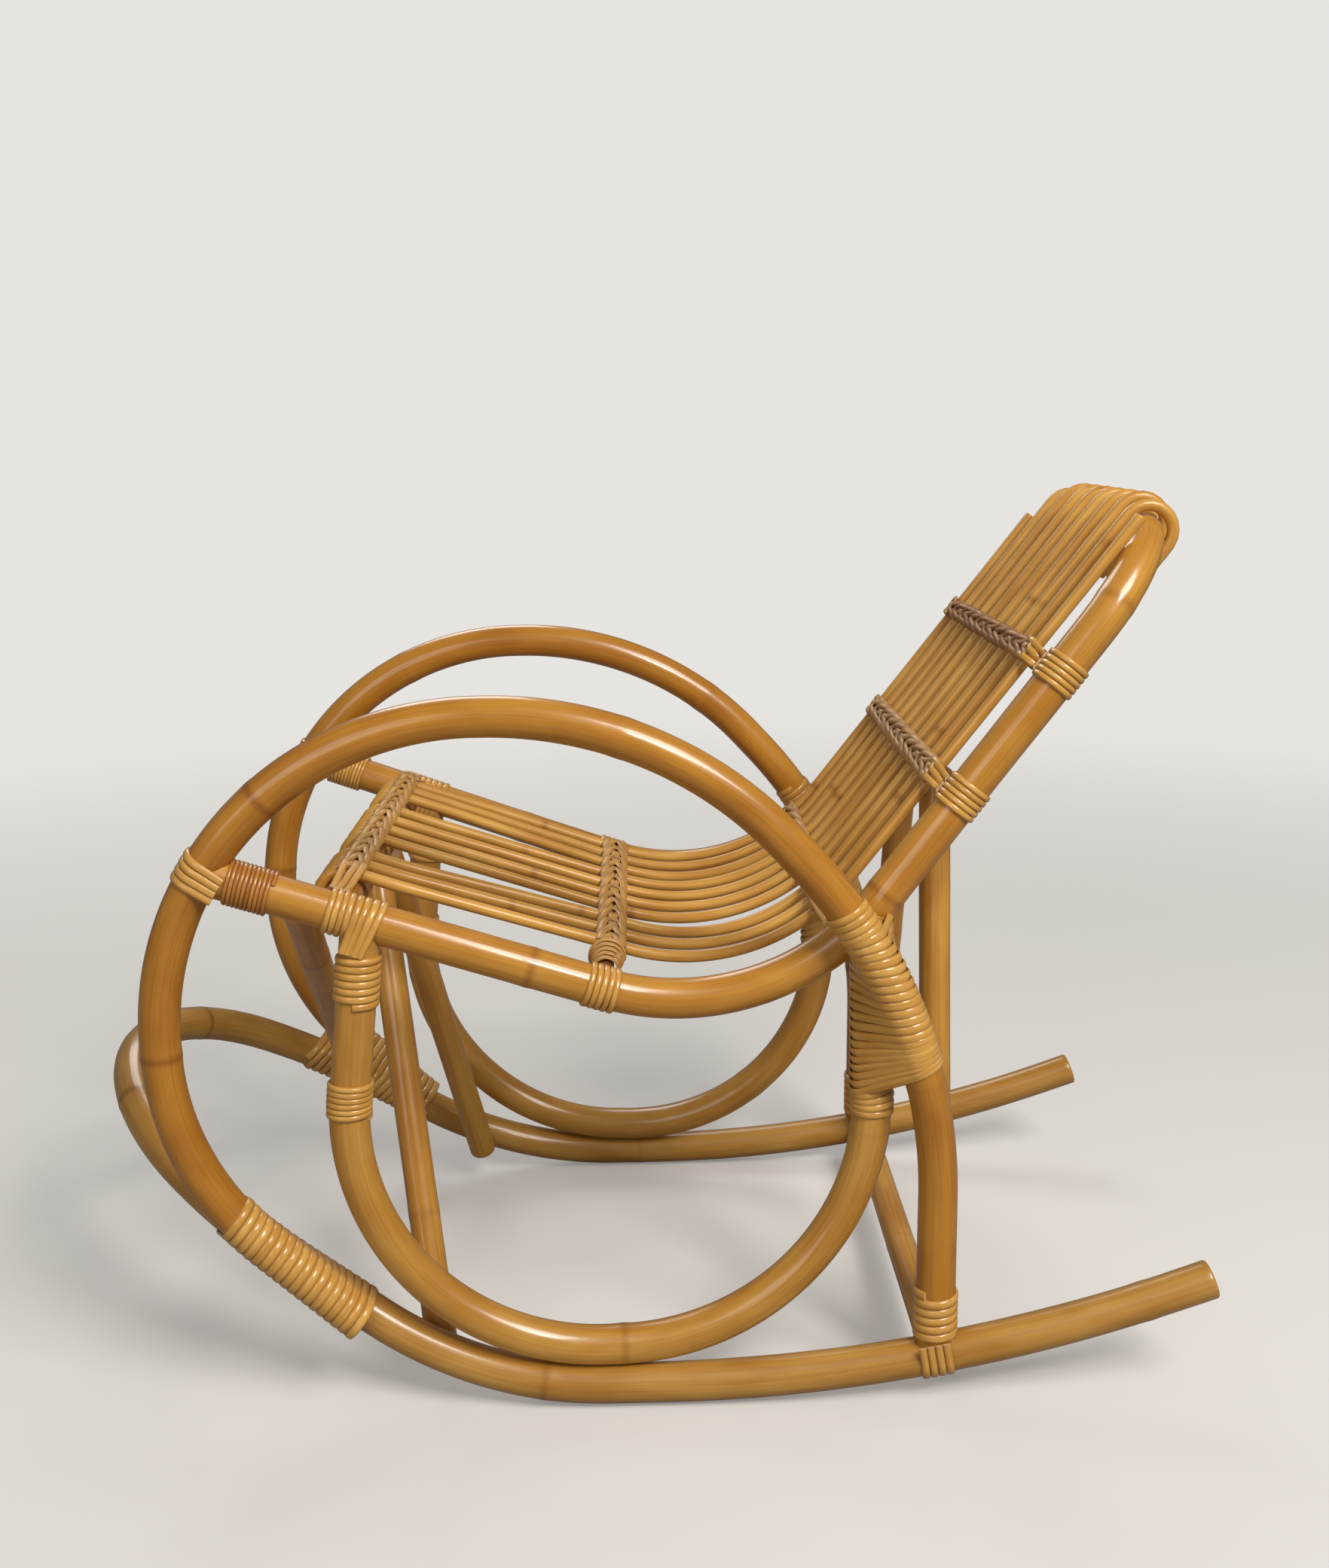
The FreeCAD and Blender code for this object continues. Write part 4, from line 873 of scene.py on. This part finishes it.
def hood(bar, row, side, seed):
    """Turns round the bar that close the plait's end, from the outer rod to the rail."""
    middle, heading, over, rail_y = bar_axes(bar)
    room = abs(rail_y) - abs(row) - POLE_R - ROD_R
    turns = (room - 3.0) / HOOD_PITCH
    spots, outs = [], []
    for count in range(int(turns * HOOD_STEPS) + 1):
        share = count / (turns * HOOD_STEPS)
        angle = math.tau * count / HOOD_STEPS
        out = heading * math.cos(angle) + over * math.sin(angle)
        centre = middle + Vector((0, row + side * (ROD_R + 1.0 + (room - 1.5) * share), 0))
        radius = BARS[bar][1] + HOOD_AIR + HOOD_SPREAD * (1 - share)
        spots.append(centre + over * (HOOD_RISE * (1 - share)) + out * radius)
        outs.append(out)
    return [lay_strip("hood_strip", spots, outs, HOOD_WIDTH, TIE_THICK, seed=seed)]


for seed, (place, bar, rows, half_width, width, finish, slot, ending) in enumerate((
    ("front", "seat_front_bar", front_rows, 9.0, 5.0, straw, "cane", end_strips),
    ("middle", "seat_middle_bar", back_rows, 11.0, 5.8, straw, "cane", hood),
    ("bend", "bend_bar", back_rows, 10.0, 5.4, tan, "cane_brown", end_strips),
    ("back_middle", "back_middle_bar", back_rows, 9.5, 5.2, tan, "cane_brown", None),
    ("back_upper", "back_upper_bar", back_rows, 8.5, 4.8, dark, "cane_brown", None),
)):
    strips = plait("plait_" + place, bar, rows, half_width, width, 201 + 40 * seed)
    if ending:
        strips += ending(bar, rows[0], -1, 230 + 40 * seed) + ending(bar, rows[-1], 1, 235 + 40 * seed)
    place_piece(join_strips("plait_" + place, strips), finish, slot, "lashing_" + place)

# Nails: round wire nails with small heads, dull steel with a little rust, sunk in the poles.
# They are the CAD solids with a better finish.
steel = bpy.data.materials.new("nail_steel")
steel.use_nodes = True
steel_shader = steel.node_tree.nodes["Principled BSDF"]
steel_shader.inputs["Metallic"].default_value = 1.0
steel_noise = steel.node_tree.nodes.new("ShaderNodeTexNoise")
steel_noise.inputs["Scale"].default_value = 900.0
steel_place = steel.node_tree.nodes.new("ShaderNodeTexCoord")
steel.node_tree.links.new(steel_place.outputs["Object"], steel_noise.inputs["Vector"])
steel_tone = steel.node_tree.nodes.new("ShaderNodeValToRGB")
steel_tone.color_ramp.elements[0].color = (0.2, 0.17, 0.14, 1)
steel_tone.color_ramp.elements[1].color = (0.5, 0.48, 0.45, 1)
steel.node_tree.links.new(steel_noise.outputs["Fac"], steel_tone.inputs["Fac"])
steel.node_tree.links.new(steel_tone.outputs["Color"], steel_shader.inputs["Base Color"])
steel_shader.inputs["Roughness"].default_value = 0.38
for name in ("bar_nails", "joint_nails"):
    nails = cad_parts[name]
    nails.data.materials.clear()
    nails.data.materials.append(steel)

# Studio: a pale floor under the runners that fades into the pale wall, and a large soft lamp in front.
# A small lamp beside it gives the shine of the lacquer, and two fill in from the left and from behind.
bpy.ops.object.select_all(action="DESELECT")
FLOOR_SIZE, FLOOR_GAP = 30, 0.0008  # m, and the room left under the runners
bpy.ops.mesh.primitive_plane_add(size=FLOOR_SIZE, location=(0, 0, -FLOOR_GAP))
floor = bpy.context.object
floor.name = "studio_floor"
paper = bpy.data.materials.new("floor_paper")
paper.use_nodes = True
paper.node_tree.nodes["Principled BSDF"].inputs["Roughness"].default_value = 0.8
floor.data.materials.append(paper)

world = bpy.data.worlds.new("studio")
bpy.context.scene.world = world
world.use_nodes = True
WALL_TONE = (0.80, 0.78, 0.75, 1)
WALL_LIGHT = (0.155, 0.153, 0.15, 1)  # what the wall gives to the chair
FLOOR_LIGHT = (0.27, 0.235, 0.2, 1)
FADE_FROM, FADE_TO, FADE_LEAST = 0.7, 2.6, 0.25  # m from the chair, and the wall's share close to it
sky = world.node_tree.nodes["Background"]
sky_ray = world.node_tree.nodes.new("ShaderNodeLightPath")
sky_tone = world.node_tree.nodes.new("ShaderNodeMix")
sky_tone.data_type = "RGBA"
sky_tone.inputs[6].default_value = WALL_LIGHT
sky_tone.inputs[7].default_value = WALL_TONE
world.node_tree.links.new(sky_ray.outputs["Is Camera Ray"], sky_tone.inputs[0])
world.node_tree.links.new(sky_tone.outputs[2], sky.inputs["Color"])
paper_nodes = paper.node_tree.nodes
paper_links = paper.node_tree.links
far = paper_nodes.new("ShaderNodeEmission")
far.inputs["Color"].default_value = WALL_TONE
place = paper_nodes.new("ShaderNodeTexCoord")
distance = paper_nodes.new("ShaderNodeVectorMath")
distance.operation = "LENGTH"
paper_links.new(place.outputs["Object"], distance.inputs[0])
fade = paper_nodes.new("ShaderNodeMapRange")
fade.interpolation_type = "SMOOTHSTEP"
fade.inputs["From Min"].default_value = FADE_FROM
fade.inputs["From Max"].default_value = FADE_TO
fade.inputs["To Min"].default_value = FADE_LEAST
paper_links.new(distance.outputs["Value"], fade.inputs["Value"])
seen = paper_nodes.new("ShaderNodeLightPath")
paper_tone = paper_nodes.new("ShaderNodeMix")
paper_tone.data_type = "RGBA"
paper_tone.inputs[6].default_value = FLOOR_LIGHT
paper_tone.inputs[7].default_value = WALL_TONE
paper_links.new(seen.outputs["Is Camera Ray"], paper_tone.inputs[0])
paper_links.new(paper_tone.outputs[2], paper_nodes["Principled BSDF"].inputs["Base Color"])
share = paper_nodes.new("ShaderNodeMath")
share.operation = "MULTIPLY"
paper_links.new(fade.outputs["Result"], share.inputs[0])
paper_links.new(seen.outputs["Is Camera Ray"], share.inputs[1])
blend = paper_nodes.new("ShaderNodeMixShader")
paper_links.new(share.outputs["Value"], blend.inputs[0])
paper_links.new(paper_nodes["Principled BSDF"].outputs[0], blend.inputs[1])
paper_links.new(far.outputs[0], blend.inputs[2])
paper_links.new(blend.outputs[0], paper_nodes["Material Output"].inputs["Surface"])


LAMPS = (  # name, place, height of the target, size, power and colour
    ("key_lamp", (1.3, -1.7, 2.4), 0.25, 1.2, 63, (1.0, 0.97, 0.92)),
    ("spark_lamp", (1.0, -2.0, 2.0), 0.25, 0.4, 14, (1.0, 0.94, 0.85)),
    ("fill_lamp", (-1.3, -2.4, 1.3), 0.25, 1.5, 15, (1.0, 0.98, 0.95)),
    ("back_lamp", (-0.6, 2.0, 2.2), 0.3, 1.2, 20, (1.0, 0.98, 0.95)),
)
for name, place, target, size, power, tone in LAMPS:
    light = bpy.data.lights.new(name, "AREA")
    light.size = size
    light.energy = power
    light.color = tone
    lamp = bpy.data.objects.new(name, light)
    bpy.context.scene.collection.objects.link(lamp)
    lamp.location = place
    lamp.rotation_euler = (Vector((0, 0, target)) - Vector(place)).to_track_quat("-Z", "Y").to_euler()

# Camera: at the photograph's angle, a little above the seat and square to the left side.
# Its focal length is given in pixels of the photograph, which is 2082 pixels high.
SENSOR = 36.0  # mm
FOCAL, IMAGE_HEIGHT = 2200, 2082
CAMERA_PLACE = (0.0057, -1.1864, 0.6394)
CAMERA_ANGLES = (0.877, 12.196, 0.779)  # yaw, pitch and roll in degrees
camera_data = bpy.data.cameras.new("photo_camera")
camera_data.lens = SENSOR * FOCAL / IMAGE_HEIGHT
camera_data.sensor_width = SENSOR
camera_data.sensor_fit = "AUTO"
camera = bpy.data.objects.new("photo_camera", camera_data)
bpy.context.scene.collection.objects.link(camera)
yaw, pitch, roll = (math.radians(angle) for angle in CAMERA_ANGLES)
look = Vector((math.sin(yaw) * math.cos(pitch), math.cos(yaw) * math.cos(pitch), -math.sin(pitch)))
right = Vector((math.cos(yaw), -math.sin(yaw), 0))
down = look.cross(right)
across = right * math.cos(roll) + down * math.sin(roll)
upward = right * math.sin(roll) - down * math.cos(roll)
turn = camera.matrix_world.to_3x3()
for row in range(3):
    turn[row][0], turn[row][1], turn[row][2] = across[row], upward[row], -look[row]
camera.matrix_world = turn.to_4x4()
camera.location = CAMERA_PLACE
bpy.context.scene.camera = camera
bpy.context.scene.view_settings.view_transform = "Standard"
